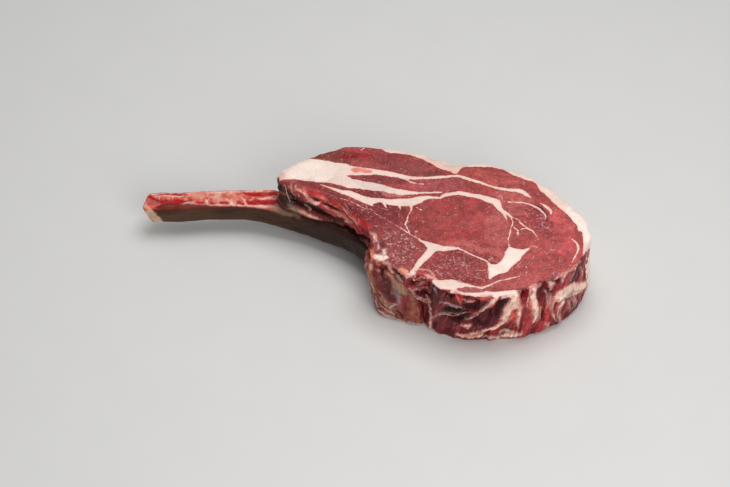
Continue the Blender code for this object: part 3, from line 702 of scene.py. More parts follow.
        ((164, -45, 52.5, 1.2), (158, -53, 53, 1.2), (150, -59, 53, 1.1), (141.5, -64, 52, 1.2),
         (133.5, -69, 52.5, 1.1), (125, -74, 54, 1)),
    )),
    ((0.62, 0.1, 0.085), 1.6, 0.8, (
        ((-20, 17.5, 50, 1.4), (-14.5, 13, 48, 1.8), (-9, 7.5, 48, 1.6)),
        ((-36, 28.5, 51.5, 1.2), (-29.5, 24, 50.5, 1.4)),
    )),
)


def touched(colours, points, touches):
    """The colours painted over, touch by touch, and the share of paint at each point."""
    covered = np.zeros(len(points))
    for tint, soft, share, lines in touches:
        held = step_up(inside_lines(points, lines), -soft, 0.6 * soft) * share
        colours = [blended(colour, tint, held) for colour in colours]
        covered += (1 - covered) * held
    return colours, covered


# The flank beside the rib has its fibres lengthwise, and the rest of the side has them upright.
flank = step_up(-across, -12, 4) * (1 - step_up(deep, 44, 50))
upright = np.column_stack([round_side - 0.28 * high, high / 7, np.zeros(len(high))])
lengthwise = np.column_stack([round_side / 8, high + 0.12 * round_side, np.zeros(len(high))])
fibres = lumps(upright, 4.6, 31) * (1 - flank) + lumps(lengthwise, 3.2, 32) * flank
fine_fibres = lumps(upright, 1.7, 33) * (1 - flank) + lumps(lengthwise, 1.4, 34) * flank
border = 8 * lumps(slice_points, 12, 35) + 4 * lumps(slice_points, 4, 36) + 2.5 * fibres
front = (1 - step_up(deep + border, -35, -25)) * step_up(across, 30, 40)
flank_end = (1 - step_up(across + 0.6 * border, -62, -46)) * (1 - step_up(deep, 44, 50))
flank_low = flank * (1 - step_up(high + 0.6 * border, 30, 44))

side_spots = slice_points + lumps_each_way(slice_points, 4, (41, 42, 43)) * 0.7
side_spots += lumps_each_way(slice_points, 1.7, (44, 45, 46)) * 0.45
side_fat = inside_lines(side_spots, SIDE_FAT)
shaded_hollow = inside_lines(side_spots, SHADED_HOLLOWS)
bright = inside_lines(side_spots, SIDE_BRIGHT)
silver_and_sheen = inside_lines(side_spots, SILVERSKIN_AND_SHEEN)
run_through = cut_fat + 0.7 * fibres + 0.5 * fine_fibres + 0.5 * border * step_up(52 - high, 0, 12)
painted = np.clip(front + flank, 0, 1)
side_fat = np.maximum(side_fat + 0.5 * fine_fibres, run_through * (1 - painted) - 9 * painted)
# The cap of fat on the back is smooth, where the front is torn.
cap = step_up(run_through, -0.5, 2.5) * (1 - painted)
fat = np.where(side > 0.5, side_fat, cut_fat)

# Painted shade: the left part of the front side is darkened, reaching further right near the floor.
shaded = front * (1 - step_up(across + 0.25 * high, 88, 118))
torn_ends = flank_end * step_up(fine_fibres + 0.5 * fibres, 0.25, 0.7)
side_colour = painted_over(plain(SIDE_RED, slice_points), (
    # painted shade on the left part of the front side
    ((0.125, 0.010, 0.013), shaded * 0.9),
    # lighter streaks of the fibres, partly a painted highlight on their raised ridges, weaker in the painted
    # shade
    ((0.410, 0.036, 0.044), step_up(fibres + 0.7 * fine_fibres, 0.0, 0.7) * (1 - 0.6 * shaded)),
    # darker streaks of the fibres, partly painted shade in the grooves between them
    ((0.080, 0.005, 0.010), step_up(-fibres - 0.6 * fine_fibres, 0.1, 0.7) * 0.85),
    ((0.300, 0.032, 0.030), flank * 0.5),
    ((0.046, 0.017, 0.012), np.maximum(flank_low * 0.8, flank_end * 0.9)),
    ((0.340, 0.160, 0.080), torn_ends * 0.5),
    ((0.500, 0.042, 0.038), step_up(bright, -1.2, 1.2) * 0.8),
    # painted shade in the hollows
    ((0.045, 0.004, 0.006), step_up(shaded_hollow, -0.9, 1.0) * 0.92),
    # grey silverskin, partly a painted wet sheen
    ((0.420, 0.290, 0.260), step_up(silver_and_sheen, -0.9, 0.7) * 0.75),
))
flesh_colour = blended(flesh_colour, side_colour, side)
fat_colour = painted_over(fat_colour, (
    ((0.960, 0.620, 0.500), side * painted * 0.85),
    ((0.970, 0.745, 0.625), side * (1 - painted) * 0.9),
))
(flesh_colour, fat_colour), covered = touched([flesh_colour, fat_colour], side_spots, SLICE_TOUCHES)
streaked = covered * side * (0.45 * fibres + 0.35 * fine_fibres)
grained = 1 + (streaked + covered * 0.25 * lumps(slice_points, 2.0, 47))
flesh_colour = flesh_colour * grained[:, None]
fat_colour = fat_colour * grained[:, None]
marbling = marbling * (1 - 0.6 * side) * (1 - covered)
curls = curls * (1 - side) * (1 - covered)


def pressed(points, faces, normals, relief):
    """A skin moved out by its relief in mm, never below the floor, and its new directions."""
    points = points + normals * relief[:, None]
    points[:, 2] = np.maximum(points[:, 2], 0.0)
    return points, facing(points, faces)


# The relief: fat stands a little proud, muscle swells and dips, and the ragged side has hollows.
even = 0.24 * lumps(slice_points, 7, 51) + 0.09 * lumps(slice_points, 2.4, 52)
cut_relief = even + 0.28 * step_up(cut_fat, -0.5, 0.9) - 0.9 * crack
side_relief = 0.9 * lumps(slice_points, 10, 53) + 0.5 * lumps(slice_points, 4, 54)
side_relief += (0.9 * fibres + 0.55 * fine_fibres) * (1 - 0.85 * cap)
side_relief += 0.45 * lumps(slice_points, 2.6, 56) * step_up(deep, 10, 40) * step_up(high, 40, 52)
side_relief += step_up(side_fat, -0.8, 1.4) - 3.6 * step_up(shaded_hollow, -1.2, 2.4)
relief = cut_relief * (1 - side) + side_relief * side
relief *= step_up(high, -0.5, 3.0)
slice_points, slice_normals = pressed(slice_points, slice_faces, slice_normals, relief)

# The finish of the cut faces.
# Moist raw flesh: a fine grain of bundled fibres cut across, threads and flecks of marbling, and
# smooth fat whose edge is frayed a little into the red.
class Wire:
    """One output of a finish's node tree, on which sums are written as sums."""

    def __init__(self, finish, socket):
        self.finish = finish
        self.socket = socket

    def math(self, operation, first, second=0.0):
        return self.finish.node("ShaderNodeMath", {"operation": operation}, {0: first, 1: second})

    def __add__(self, other):
        return self.math("ADD", self, other)

    def __sub__(self, other):
        return self.math("SUBTRACT", self, other)

    def __rsub__(self, other):
        return self.math("SUBTRACT", other, self)

    def __mul__(self, other):
        return self.math("MULTIPLY", self, other)

    def __abs__(self):
        return self.math("ABSOLUTE", self)

    def most(self, other):
        return self.math("MAXIMUM", self, other)

    __radd__ = __add__


class Finish:
    """A procedural material while its nodes are laid out."""

    def __init__(self, name):
        self.material = bpy.data.materials.new(name)
        self.material.use_nodes = True
        self.tree = self.material.node_tree
        self.tree.nodes.clear()

    def node(self, kind, settings, sockets, output=0):
        """Adds a node, its settings first and then its sockets, and gives one of its outputs."""
        made = self.tree.nodes.new(kind)
        for key, value in settings.items():
            setattr(made, key, value)
        for key, value in sockets.items():
            if isinstance(value, Wire):
                self.tree.links.new(value.socket, made.inputs[key])
            else:
                made.inputs[key].default_value = value
        return Wire(self, made.outputs[output]) if made.outputs else None

    def painted(self, name):
        """A number painted on the piece's points."""
        return self.node("ShaderNodeAttribute", {"attribute_name": name}, {}, "Fac")

    def painted_colour(self, name):
        """A colour painted on the piece's points."""
        return self.node("ShaderNodeAttribute", {"attribute_name": name}, {}, "Color")

    def place(self, *stretch):
        """The piece's own coordinates in mm, each divided by its stretch."""
        spot = self.node("ShaderNodeTexCoord", {}, {}, "Object")
        scale = tuple(1000.0 / length for length in stretch)
        return self.node("ShaderNodeVectorMath", {"operation": "MULTIPLY"}, {0: spot, 1: scale})

    def noise(self, where, size, detail=2.0, rough=0.5, twist=0.0):
        """Cloudy noise about 0.5, its patches size long."""
        sockets = {"Vector": where, "Scale": 1.0 / size}
        sockets.update({"Detail": detail, "Roughness": rough, "Distortion": twist})
        return self.node("ShaderNodeTexNoise", {}, sockets)

    def bent(self, where, size, reach):
        """Coordinates pushed about by noise, so that a pattern on them runs crooked."""
        sockets = {"Vector": where, "Scale": 1.0 / size, "Detail": 2.0}
        push = self.node("ShaderNodeTexNoise", {}, sockets, "Color")
        sockets = {0: push, 1: (reach, reach, reach), 2: where}
        return self.node("ShaderNodeVectorMath", {"operation": "MULTIPLY_ADD"}, sockets)

    def walls(self, where, size, thin, thick):
        """The lines between rounded cells that are size across, 1 on a line and 0 off it."""
        sockets = {"Vector": where, "Scale": 1.0 / size}
        edge = self.node("ShaderNodeTexVoronoi", {"feature": "DISTANCE_TO_EDGE"}, sockets, "Distance")
        return self.band(edge, thin, thick, 1.0, 0.0)

    def band(self, value, low, high, first=0.0, last=1.0):
        """A soft step from first to last as the value goes from low to high."""
        sockets = {0: value, 1: low, 2: high, 3: first, 4: last}
        return self.node("ShaderNodeMapRange", {"interpolation_type": "SMOOTHSTEP"}, sockets)

    def mix(self, share, first, second, way="MIX"):
        """Two colours blended."""
        first, second = (c if isinstance(c, Wire) else (*c, 1.0) for c in (first, second))
        settings = {"data_type": "RGBA", "blend_type": way}
        return self.node("ShaderNodeMix", settings, {0: share, 6: first, 7: second}, 2)

    def shade(self, colour, amount):
        """A colour made darker or lighter by a number about 1."""
        return self.mix(1.0, colour, amount, "MULTIPLY")

    def done(self, colour, rough, height, deep, **constants):
        """Ends the tree in one shader, with the height as bumps that are deep mm."""
        bump = self.node("ShaderNodeBump", {}, {"Strength": 0.8, "Distance": deep * MM, "Height": height})
        sockets = {"Base Color": colour, "Roughness": rough, "Normal": bump, **constants}
        shader = self.node("ShaderNodeBsdfPrincipled", {}, sockets)
        self.node("ShaderNodeOutputMaterial", {}, {"Surface": shader})
        return self.material


cut = Finish("cut_flesh")
spot = cut.place(1, 1, 1)
crooked = cut.bent(spot, 3.0, 3.4)
swept = cut.bent(spot, 8.0, 9.0)
fray = cut.noise(spot, 2.6, 3.0, 0.6)
grain = cut.noise(spot, 1.2, 3.0, 0.65)
cloud = cut.noise(spot, 5.5, 3.0, 0.55)
seam_depth = cut.painted("fat") + (fray - 0.5) * 1.8 + (cut.noise(spot, 8.0, 1.0) - 0.5)
is_fat = cut.band(seam_depth, -0.16, 0.22)
marbled = cut.painted("marbling")
long_veins = cut.band(cut.noise(spot, 7.0) + marbled * 0.24, 0.66, 0.82)
long_veins = cut.walls(swept, 12.0, 0.008, 0.036) * long_veins
short_veins = cut.band(cut.noise(spot, 3.2) + marbled * 0.22, 0.74, 0.92)
short_veins = cut.walls(crooked, 4.2, 0.02, 0.17) * short_veins
flecks = cut.band(cut.noise(spot, 1.4, 1.0) + marbled * 0.05, 0.70, 0.78)
curled = cut.painted("curls")
curl_lines = cut.band(cut.noise(spot, 2.8) + curled * 0.20, 0.66, 0.82)
curl_lines = cut.walls(crooked, 3.4, 0.03, 0.24) * curl_lines
marble = long_veins.most(short_veins * 0.8).most(flecks * 0.8).most(curl_lines)
bundles = cut.node("ShaderNodeTexVoronoi", {}, {"Vector": crooked, "Scale": 0.42}, "Color")
gaps = cut.walls(crooked, 2.6, 0.0, 0.22)
light = 0.83 + (cloud - 0.5) + (grain - 0.5) * 1.7 + bundles * 0.34
red = cut.shade(cut.painted_colour("flesh"), light)
red = cut.mix(gaps * (0.03 + marbled * 0.32), red, (0.11, 0.014, 0.016))
red = cut.mix(cut.band(grain, 0.60, 0.78) * 0.30, red, (0.66, 0.24, 0.22))
red = cut.mix(marble * 0.72, red, (0.76, 0.40, 0.37))
red = cut.mix(cut.band(seam_depth, -1.3, -0.1) * 0.25, red, (0.42, 0.05, 0.05))
creases = cut.walls(swept, 7.0, 0.0, 0.06)
brushed = cut.noise(swept, 2.4, 4.0, 0.65)
light = 0.80 + cut.noise(spot, 6.0, 3.0) * 0.16 + brushed * 0.26 + (grain - 0.5) * 0.24
white = cut.shade(cut.painted_colour("fat_tint"), light)
white = cut.mix(cut.band(cut.noise(swept, 8.0), 0.50, 0.66) * 0.22, white, (0.74, 0.60, 0.50))
white = cut.mix(creases * 0.22, white, (0.70, 0.46, 0.40))
rosy_edge = cut.band(seam_depth + (cloud - 0.5) * 2.0, 0.1, 1.7, 0.46, 0.0)
white = cut.mix(rosy_edge, white, (0.83, 0.42, 0.36))
body = cut.mix(is_fat, red, white)
smoothness = cut.band(is_fat, 0.0, 1.0, 0.40, 0.48) + (grain - 0.5) * 0.5
lean = 1 - is_fat * 0.65
height = (grain * 0.9 + bundles * 0.3 - gaps * 0.25) * lean
height = height + is_fat * 0.25 + marble * 0.2 - creases * is_fat * 0.15
wet_flesh = {"Subsurface Weight": 0.08, "Subsurface Radius": (1.0, 0.35, 0.2), "Subsurface Scale": 0.0014,
             "Coat Weight": 0.10, "Coat Roughness": 0.20, "Specular IOR Level": 0.28}
cut_flesh = cut.done(body, smoothness, height, 0.30, **wet_flesh)

# The finish of the side.
# The same flesh seen along its fibres, wetter, darker in the hollows where shade is painted into its colour,
# with torn films of sinew.
torn = Finish("torn_flesh")
spot = torn.place(1, 1, 1)
fibre_run = torn.painted("fibre_run")
fibre_rise = torn.painted("fibre_rise") * 0.16
ways = torn.node("ShaderNodeCombineXYZ", {}, {0: fibre_run, 1: fibre_rise, 2: 0.0})
strands = torn.noise(ways, 1.7, 3.0, 0.6)
broad = torn.noise(ways, 5.0, 2.0, 0.5, 0.4)
threads = torn.band(abs(torn.noise(ways, 3.2, 2.0, 0.5, 0.6) - 0.5), 0.0, 0.035, 1.0, 0.0)
fray = torn.noise(spot, 1.8, 3.0, 0.65)
knots = torn.noise(spot, 4.5, 2.0)
seam_depth = torn.painted("fat") + (fray - 0.5) * 2.2 + (strands - 0.5) * 3.0 + (knots - 0.5) * 1.8
is_fat = torn.band(seam_depth, -0.7, 1.4)
rough_fat = 1 - torn.painted("cap") * 0.85
light = 1 + (strands - 0.5) * 1.8 + (broad - 0.5) * 1.4 + (fray - 0.5) * 1.8
red = torn.shade(torn.painted_colour("flesh"), light)
lit = torn.band(torn.painted_colour("flesh") * 1.0, 0.025, 0.075)
films = torn.band(strands, 0.57, 0.66) * torn.band(knots, 0.43, 0.58) * lit
red = torn.mix(films * 0.60, red, (0.62, 0.25, 0.23))
red = torn.mix(torn.band(seam_depth, -1.9, 0.0) * (0.12 + lit * 0.38), red, (0.54, 0.18, 0.15))
mottled = (fray - 0.5) + (knots - 0.5) * 0.9
light = 1 + (strands - 0.5) * 1.1 * rough_fat + mottled * (rough_fat * 0.6 + 0.3)
white = torn.shade(torn.painted_colour("fat_tint"), light)
white = torn.mix(torn.band(seam_depth, 0.0, 2.4, 0.55, 0.0), white, (0.66, 0.26, 0.21))
white = torn.mix(threads * 0.45 * rough_fat, white, (0.56, 0.18, 0.145))
body = torn.mix(is_fat, red, white)
smoothness = torn.band(is_fat, 0.0, 1.0, 0.34, 0.44) + (fray - 0.5) * 0.5
height = (strands * 0.8 + broad * 0.5) * torn.band(rough_fat + (1 - is_fat), 0.0, 1.0)
height = height + fray * 0.5 + is_fat * 0.3
wetter_flesh = {**wet_flesh, "Coat Weight": 0.16, "Coat Roughness": 0.11, "Specular IOR Level": 0.12}
torn_flesh = torn.done(body, smoothness, height, 0.65, **wetter_flesh)


# The four faces of the slice.
# The two cut faces share one finish, and the front and the back side the other. All four are parts
# of the one skin, so their edges meet, and each carries the numbers and colours painted on it.
def piece_of(name, skin, paint, node, slot, finish, chosen=slice(None)):
    """A finished piece made of a skin or of its chosen faces, painted and set in the model."""
    points, faces, normals = skin
    used, index = np.unique(faces[chosen], return_inverse=True)
    mesh = bpy.data.meshes.new(name)
    mesh.from_pydata((points[used] * MM).tolist(), [], index.reshape(-1, 4).tolist())
    for label, values in paint.items():
        kind, field = ("FLOAT", "value") if values.ndim == 1 else ("FLOAT_COLOR", "color")
        if values.ndim == 2:
            values = np.column_stack([np.clip(values, 0, 1), np.ones(len(values))])
        layer = mesh.attributes.new(label, kind, "POINT")
        layer.data.foreach_set(field, values[used].astype(np.float32).ravel())
    mesh.shade_smooth()
    mesh.normals_split_custom_set_from_vertices(normals[used].tolist())
    mesh.materials.append(finish)
    made = placed(name, mesh)
    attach(made, "root")
    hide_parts(node)


slice_skin = (slice_points, slice_faces, slice_normals)
slice_paint = {
    "fat": fat,
    "flesh": flesh_colour,
    "fat_tint": fat_colour,
    "marbling": marbling,
    "curls": curls,
    "cap": cap,
    "fibre_run": upright[:, 0] * (1 - flank) + lengthwise[:, 1] * flank,
    "fibre_rise": high * (1 - flank) + round_side * flank,
}
face_upper = upper_cut[slice_faces].mean(1) > 0.5
face_under = under_cut[slice_faces].mean(1) > 0.5
face_back = deep[slice_faces].mean(1) > 0
face_side = ~face_upper & ~face_under
for name, chosen, finish in (
    ("upper_cut_face", face_upper, cut_flesh),
    ("under_cut_face", face_under, cut_flesh),
    ("front_side", face_side & ~face_back, torn_flesh),
    ("back_side", face_side & face_back, torn_flesh),
):
    piece_of(name, slice_skin, slice_paint, "meat", "meat", finish, chosen)

# The crumbs on the cut face.
# The saw leaves crumbs of fat and bone, each half a millimetre or so, scattered on the bare flesh and
# never on the fat. They are strewn over the face itself.
CRUMB_SIZE = 0.34
# Crumbs to a square metre.
CRUMB_DENSITY = 9000.0


def knot(tree, kind, settings, sockets):
    """Adds a node to a tree that makes shapes, its settings first, and gives its outputs."""
    made = tree.nodes.new(kind)
    for key, value in settings.items():
        setattr(made, key, value)
    for key, value in sockets.items():
        if isinstance(value, bpy.types.NodeSocket):
            tree.links.new(value, made.inputs[key])
        else:
            made.inputs[key].default_value = value
    return made.outputs


def painted_number(tree, name):
    """A number painted on the points that a tree is given."""
    settings = {"data_type": "FLOAT"}
    return knot(tree, "GeometryNodeInputNamedAttribute", settings, {"Name": name})["Attribute"]


def tree_of(name, inputs):
    """An empty tree that makes shapes, with its named inputs, and the sockets that carry them."""
    tree = bpy.data.node_groups.new(name, "GeometryNodeTree")
    for label, kind in inputs:
        tree.interface.new_socket(label, in_out="INPUT", socket_type=kind)
    tree.interface.new_socket("Shape", in_out="OUTPUT", socket_type="NodeSocketGeometry")
    return tree, tree.nodes.new("NodeGroupInput").outputs


def end_tree(tree, shape, finish):
    """Ends a tree in real geometry of one finish."""
    shape = knot(tree, "GeometryNodeRealizeInstances", {}, {"Geometry": shape})[0]
    shape = knot(tree, "GeometryNodeSetMaterial", {}, {"Geometry": shape, "Material": finish})[0]
    knot(tree, "NodeGroupOutput", {}, {0: shape})


def grown(name, mesh, tree, values):
    """The piece that a tree makes from a mesh, as a plain mesh of its own."""
    seed = placed(name + "_seed", mesh)
    growth = seed.modifiers.new("growth", "NODES")
    growth.node_group = tree
    for item in tree.interface.items_tree:
        if item.name in values:
            growth[item.identifier] = values[item.name]
    bpy.context.view_layer.update()
    shape = bpy.data.meshes.new_from_object(seed.evaluated_get(bpy.context.evaluated_depsgraph_get()))
    bpy.data.objects.remove(seed)
    shape.name = name
    made = placed(name, shape)
    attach(made, "root")


crumbs, given = tree_of("crumbs", (
    ("Face", "NodeSocketGeometry"), ("Density", "NodeSocketFloat"), ("Size", "NodeSocketFloat"),
    ("Seed", "NodeSocketInt"), ("Finish", "NodeSocketMaterial"),
))
fat_depth = painted_number(crumbs, "fat")
on_lean = knot(crumbs, "FunctionNodeCompare", {"operation": "LESS_THAN"}, {0: fat_depth, 1: -1.0})[0]
sockets = {"Mesh": given["Face"], "Selection": on_lean, "Density": given["Density"], "Seed": given["Seed"]}
strewn = knot(crumbs, "GeometryNodeDistributePointsOnFaces", {}, sockets)["Points"]
round_crumb = knot(crumbs, "GeometryNodeMeshIcoSphere", {}, {"Radius": 1.0, "Subdivisions": 2})[0]
by_chance = {"data_type": "FLOAT_VECTOR"}
sockets = {0: (0.5, 0.6, 0.35), 1: (1.6, 1.1, 0.8), "Seed": given["Seed"]}
spread = knot(crumbs, "FunctionNodeRandomValue", by_chance, sockets)[0]
sockets = {0: spread, "Scale": given["Size"]}
scale = knot(crumbs, "ShaderNodeVectorMath", {"operation": "SCALE"}, sockets)[0]
turned = knot(crumbs, "FunctionNodeRandomValue", by_chance, {0: (0, 0, 0), 1: (0.5, 0.5, 6.28)})[0]
sockets = {"Points": strewn, "Instance": round_crumb, "Rotation": turned, "Scale": scale}
end_tree(crumbs, knot(crumbs, "GeometryNodeInstanceOnPoints", {}, sockets)[0], given["Finish"])

crumb = Finish("crumb_fat")
spot = crumb.place(1, 1, 1)
rosy = crumb.band(crumb.noise(spot, 6.0, 2.0), 0.42, 0.58)
body = crumb.mix(rosy, (0.80, 0.54, 0.47), (0.70, 0.30, 0.26))
mottle = crumb.noise(spot, 0.4, 2.0)
body = crumb.shade(body, 0.75 + mottle * 0.5)
crumb_fat = crumb.done(body, 0.36 + mottle * 0.2, mottle, 0.10, **wet_flesh)
face = bpy.data.objects["upper_cut_face"].data.copy()
values = {"Density": CRUMB_DENSITY, "Size": CRUMB_SIZE * MM, "Seed": 7, "Finish": crumb_fat}
grown("saw_crumbs", face, crumbs, values)

# The loose strands of the side.
# Sinews, torn films and lips of flesh that the knife left on the ragged side. Each lies along a line
# over the side, x, y, z and half width, and wavers a little as torn tissue does.
SINEWS = (
    ((47, -61.5, 34, 0.41), (49, -62.8, 31, 1.02), (50, -64.5, 25, 1.09), (51.5, -67, 17, 0.88),
     (51.5, -67.2, 8, 0.75),
     (52.3, -67.6, 2.4, 0.54)),
    ((34, -58.6, 39, 0.34), (37.5, -59.4, 33, 0.61), (40.5, -59.6, 28.5, 0.75), (45, -61, 26.5, 0.68),
     (49.5, -64, 27.5, 0.54)),
    ((36.5, -59.3, 35, 0.27), (39.5, -60.4, 38.5, 0.41), (42.5, -60.6, 37.5, 0.27)),
    ((54, -70, 17, 0.2), (60, -74.8, 27, 0.41), (68, -78.9, 29, 0.41), (74.5, -81.8, 35.5, 0.34),
     (80, -83.2, 38, 0.2)),
    ((77, -81.6, 28, 0.27), (83, -83.6, 33.5, 0.54), (87.5, -85, 40, 0.68), (92, -85, 46, 0.68),
     (96, -84, 51, 0.41)),
    ((116.5, -77.8, 30, 0.27), (117, -77.4, 22, 0.54), (117, -77, 14, 0.41), (118, -76.5, 9, 0.2)),
    ((144.5, -64.8, 27, 0.27), (143.5, -66, 21, 0.48), (145, -66.4, 14.5, 0.41), (148, -65.2, 8, 0.27)),
    ((152.5, -60, 24, 0.34), (150, -62.6, 17, 0.54), (150, -63.8, 11, 0.41), (150.8, -63.2, 6, 0.27)),
    ((157, -55.8, 22, 0.2), (156.8, -56.4, 17, 0.34), (158.3, -55.4, 12, 0.2)),
    ((-52, 35.4, 52, 0.27), (-47, 33.8, 52, 0.61), (-45, 30.4, 49, 0.54), (-41.5, 27.4, 47.5, 0.48),
     (-37.5, 25.4, 47, 0.27)),
    ((-17, 15.8, 50, 0.27), (-14, 13.3, 49, 0.54), (-11, 9.3, 47.5, 0.54), (-7, 4.3, 48, 0.41),
     (-3.5, -0.3, 49, 0.2)),
    ((-57.5, 42, 54.5, 0.2), (-57.6, 37.4, 52.5, 0.27), (-56, 33.8, 49, 0.27), (-54, 31.5, 45, 0.2)),
    ((-62.5, 40, 53.5, 0.2), (-61.8, 37.2, 50.5, 0.27), (-60.5, 34.6, 46, 0.27), (-58.5, 32.4, 42, 0.2)),
    ((-53.5, 36.8, 52.5, 0.2), (-52, 32.8, 49, 0.27), (-49, 29.6, 45, 0.2)),
    ((-54, 29, 37.5, 0.2), (-47.5, 26.4, 36.5, 0.34), (-42.5, 24.4, 34, 0.34), (-35.5, 21.8, 33.5, 0.2)),
)
FLESH_LIPS = (
    ((37.5, -60.5, 51, 0.5), (41.5, -61.4, 50.2, 0.9), (45.5, -62, 52.5, 1.0), (49, -63.6, 54, 1.2),
     (52.5, -66, 53.5, 0.7)),
    ((41, -60.6, 40, 0.5), (43.5, -61, 41.5, 1.0), (46.5, -62, 43.5, 1.3), (48.5, -63, 44, 0.6)),
    ((68, -80, 53, 0.6), (70.5, -81.4, 50.5, 1.4), (72, -82, 47, 1.2), (72.5, -82, 44.5, 0.5)),
    ((84, -84, 53, 0.5), (89, -84.6, 53.4, 1.0), (94, -84, 53.8, 0.9), (97, -83.4, 53.6, 0.4)),
    ((111.5, -80, 32, 0.5), (113.5, -79, 28, 1.3), (113, -78.8, 23, 1.0), (112, -78.6, 20, 0.4)),
    ((137.5, -68, 33, 0.4), (138.3, -68.2, 29, 1.0), (138, -69, 23, 0.8), (138.5, -69, 18, 0.4)),
    ((-27, 22, 46.5, 0.4), (-22, 18.8, 46.4, 0.9), (-16, 14, 45.6, 0.9), (-10, 8.5, 45.4, 0.6),
     (-5, 2, 46, 0.3)),
    ((-34, 27, 51, 0.4), (-29, 23.6, 49.6, 1.0), (-23.5, 20, 49.4, 1.1), (-18, 16, 49, 0.5)),
)

STRAND_STEP = 0.7

strand, given = tree_of("strand", (
    ("Lines", "NodeSocketGeometry"), ("Step", "NodeSocketFloat"), ("Waver", "NodeSocketFloat"),
    ("Seed", "NodeSocketFloat"), ("Finish", "NodeSocketMaterial"),
))
run = knot(strand, "GeometryNodeMeshToCurve", {}, {"Mesh": given["Lines"]})[0]
sockets = {"Curve": run, "Length": given["Step"]}
run = knot(strand, "GeometryNodeResampleCurve", {"mode": "LENGTH"}, sockets)[0]
sockets = {"W": given["Seed"], "Scale": 300.0}
shake = knot(strand, "ShaderNodeTexNoise", {"noise_dimensions": "4D"}, sockets)
sockets = {0: shake["Color"], 1: (0.5, 0.5, 0.5)}
sway = knot(strand, "ShaderNodeVectorMath", {"operation": "SUBTRACT"}, sockets)[0]
sockets = {0: sway, "Scale": given["Waver"]}
sway = knot(strand, "ShaderNodeVectorMath", {"operation": "SCALE"}, sockets)[0]
run = knot(strand, "GeometryNodeSetPosition", {}, {"Geometry": run, "Offset": sway})[0]
swell = knot(strand, "ShaderNodeMath", {"operation": "MULTIPLY_ADD"}, {0: shake["Fac"], 1: 1.6, 2: 0.2})[0]
sockets = {0: painted_number(strand, "half"), 1: swell}
thick = knot(strand, "ShaderNodeMath", {"operation": "MULTIPLY"}, sockets)[0]
run = knot(strand, "GeometryNodeSetCurveRadius", {}, {"Curve": run, "Radius": thick})[0]
ring = knot(strand, "GeometryNodeCurvePrimitiveCircle", {}, {"Resolution": 8, "Radius": 1.0})[0]
sockets = {"Curve": run, "Profile Curve": ring, "Scale": thick, "Fill Caps": True}
tube = knot(strand, "GeometryNodeCurveToMesh", {}, sockets)[0]
tube = knot(strand, "GeometryNodeSetShadeSmooth", {}, {"Geometry": tube})[0]
end_tree(strand, tube, given["Finish"])


def strands(name, lines, waver, seed, finish, slot):
    """Strands that follow lines, as one piece."""
    points, edges, halves = [], [], []
    for line in lines:
        track = smooth(line) * MM
        edges += [(len(points) + step, len(points) + step + 1) for step in range(len(track) - 1)]
        points += track[:, :3].tolist()
        halves += track[:, 3].tolist()
    mesh = bpy.data.meshes.new(name + "_lines")
    mesh.from_pydata(points, edges, [])
    mesh.attributes.new("half", "FLOAT", "POINT").data.foreach_set("value", halves)
    values = {"Step": STRAND_STEP * MM, "Waver": waver * MM, "Seed": seed, "Finish": finish}
    grown(name, mesh, strand, values)


def strand_finish(name, pale, dark, share):
    """Wet tissue with a fine run of fibres and darker patches."""
    made = Finish(name)
    spot = made.place(1, 1, 1)
    fine = made.noise(spot, 0.9, 3.0, 0.6)
    patch = made.noise(spot, 3.0, 2.0)
    dark_share = made.band(patch + (fine - 0.5) * 0.5, 0.62 - share * 0.3, 0.75 - share * 0.3)
    body = made.mix(dark_share, pale, dark)
    body = made.shade(body, 0.70 + fine * 0.60)
    return made.done(body, 0.30 + fine * 0.25, fine, 0.20, **wet_flesh)


sinew = strand_finish("sinew", (0.66, 0.40, 0.32), (0.40, 0.10, 0.085), 0.6)
flesh_lip = strand_finish("flesh_lip", (0.52, 0.075, 0.065), (0.30, 0.022, 0.024), 0.5)
strands("sinews", SINEWS, 1.6, 3.0, sinew, "meat")
strands("flesh_lips", FLESH_LIPS, 2.0, 5.0, flesh_lip, "meat")

# The rib.
# One long flat bone, scraped clean where it leaves the meat. Its upper side keeps scraps of red and
# rose flesh under a cream net, its sides are bare brown bone, and its sawn end is cream.
RIB_SQUARE = 0.6
BONE_BROWN = (0.058, 0.024, 0.013)
RIB_FLESH = (0.640, 0.085, 0.062)
# Lines of cream tissue, of blood, of the cream and grey of the sawn end, of the dried brown edge and
# of membrane. Each is x, y, z and half width.
RIB_CREAM = (
    ((-169, 50, 30, 0.5), (-160, 50.6, 31, 0.8), (-152, 49.6, 31, 0.9), (-145, 50, 31, 0.4)),
    ((-147, 41, 31.5, 0.5), (-142, 42, 31, 1.2), (-138, 41, 31, 0.8)),
    ((-127, 45.5, 31, 0.5), (-126, 41.5, 30.5, 0.9)),
    ((-110, 46, 31, 0.5), (-107, 43.5, 31, 1.0), (-105, 41, 29.5, 0.7)),
    ((-98.5, 48, 31, 0.6), (-96, 45, 31, 1.0), (-94.5, 41, 30, 1.0)),
    ((-87.5, 47, 31, 0.4), (-82, 46.5, 31.5, 1.0), (-75.5, 47.5, 31.5, 0.8)),
    ((-147.5, 40, 31, 0.4), (-131.5, 40, 30, 0.5), (-115.5, 41, 30, 0.6), (-95.5, 40, 29.5, 0.7),
     (-81.5, 38.5, 30.5, 0.9), (-71, 37, 31.5, 0.7)),
    ((-173.5, 54, 29.5, 0.7), (-168, 53, 30.5, 0.8), (-158, 53.4, 30.5, 0.4), (-140.5, 54, 31, 0.5),
     (-120, 55, 31, 0.7), (-100, 55.5, 31, 0.6), (-85.5, 57, 30.5, 0.9), (-76, 58, 30, 0.9)),
)
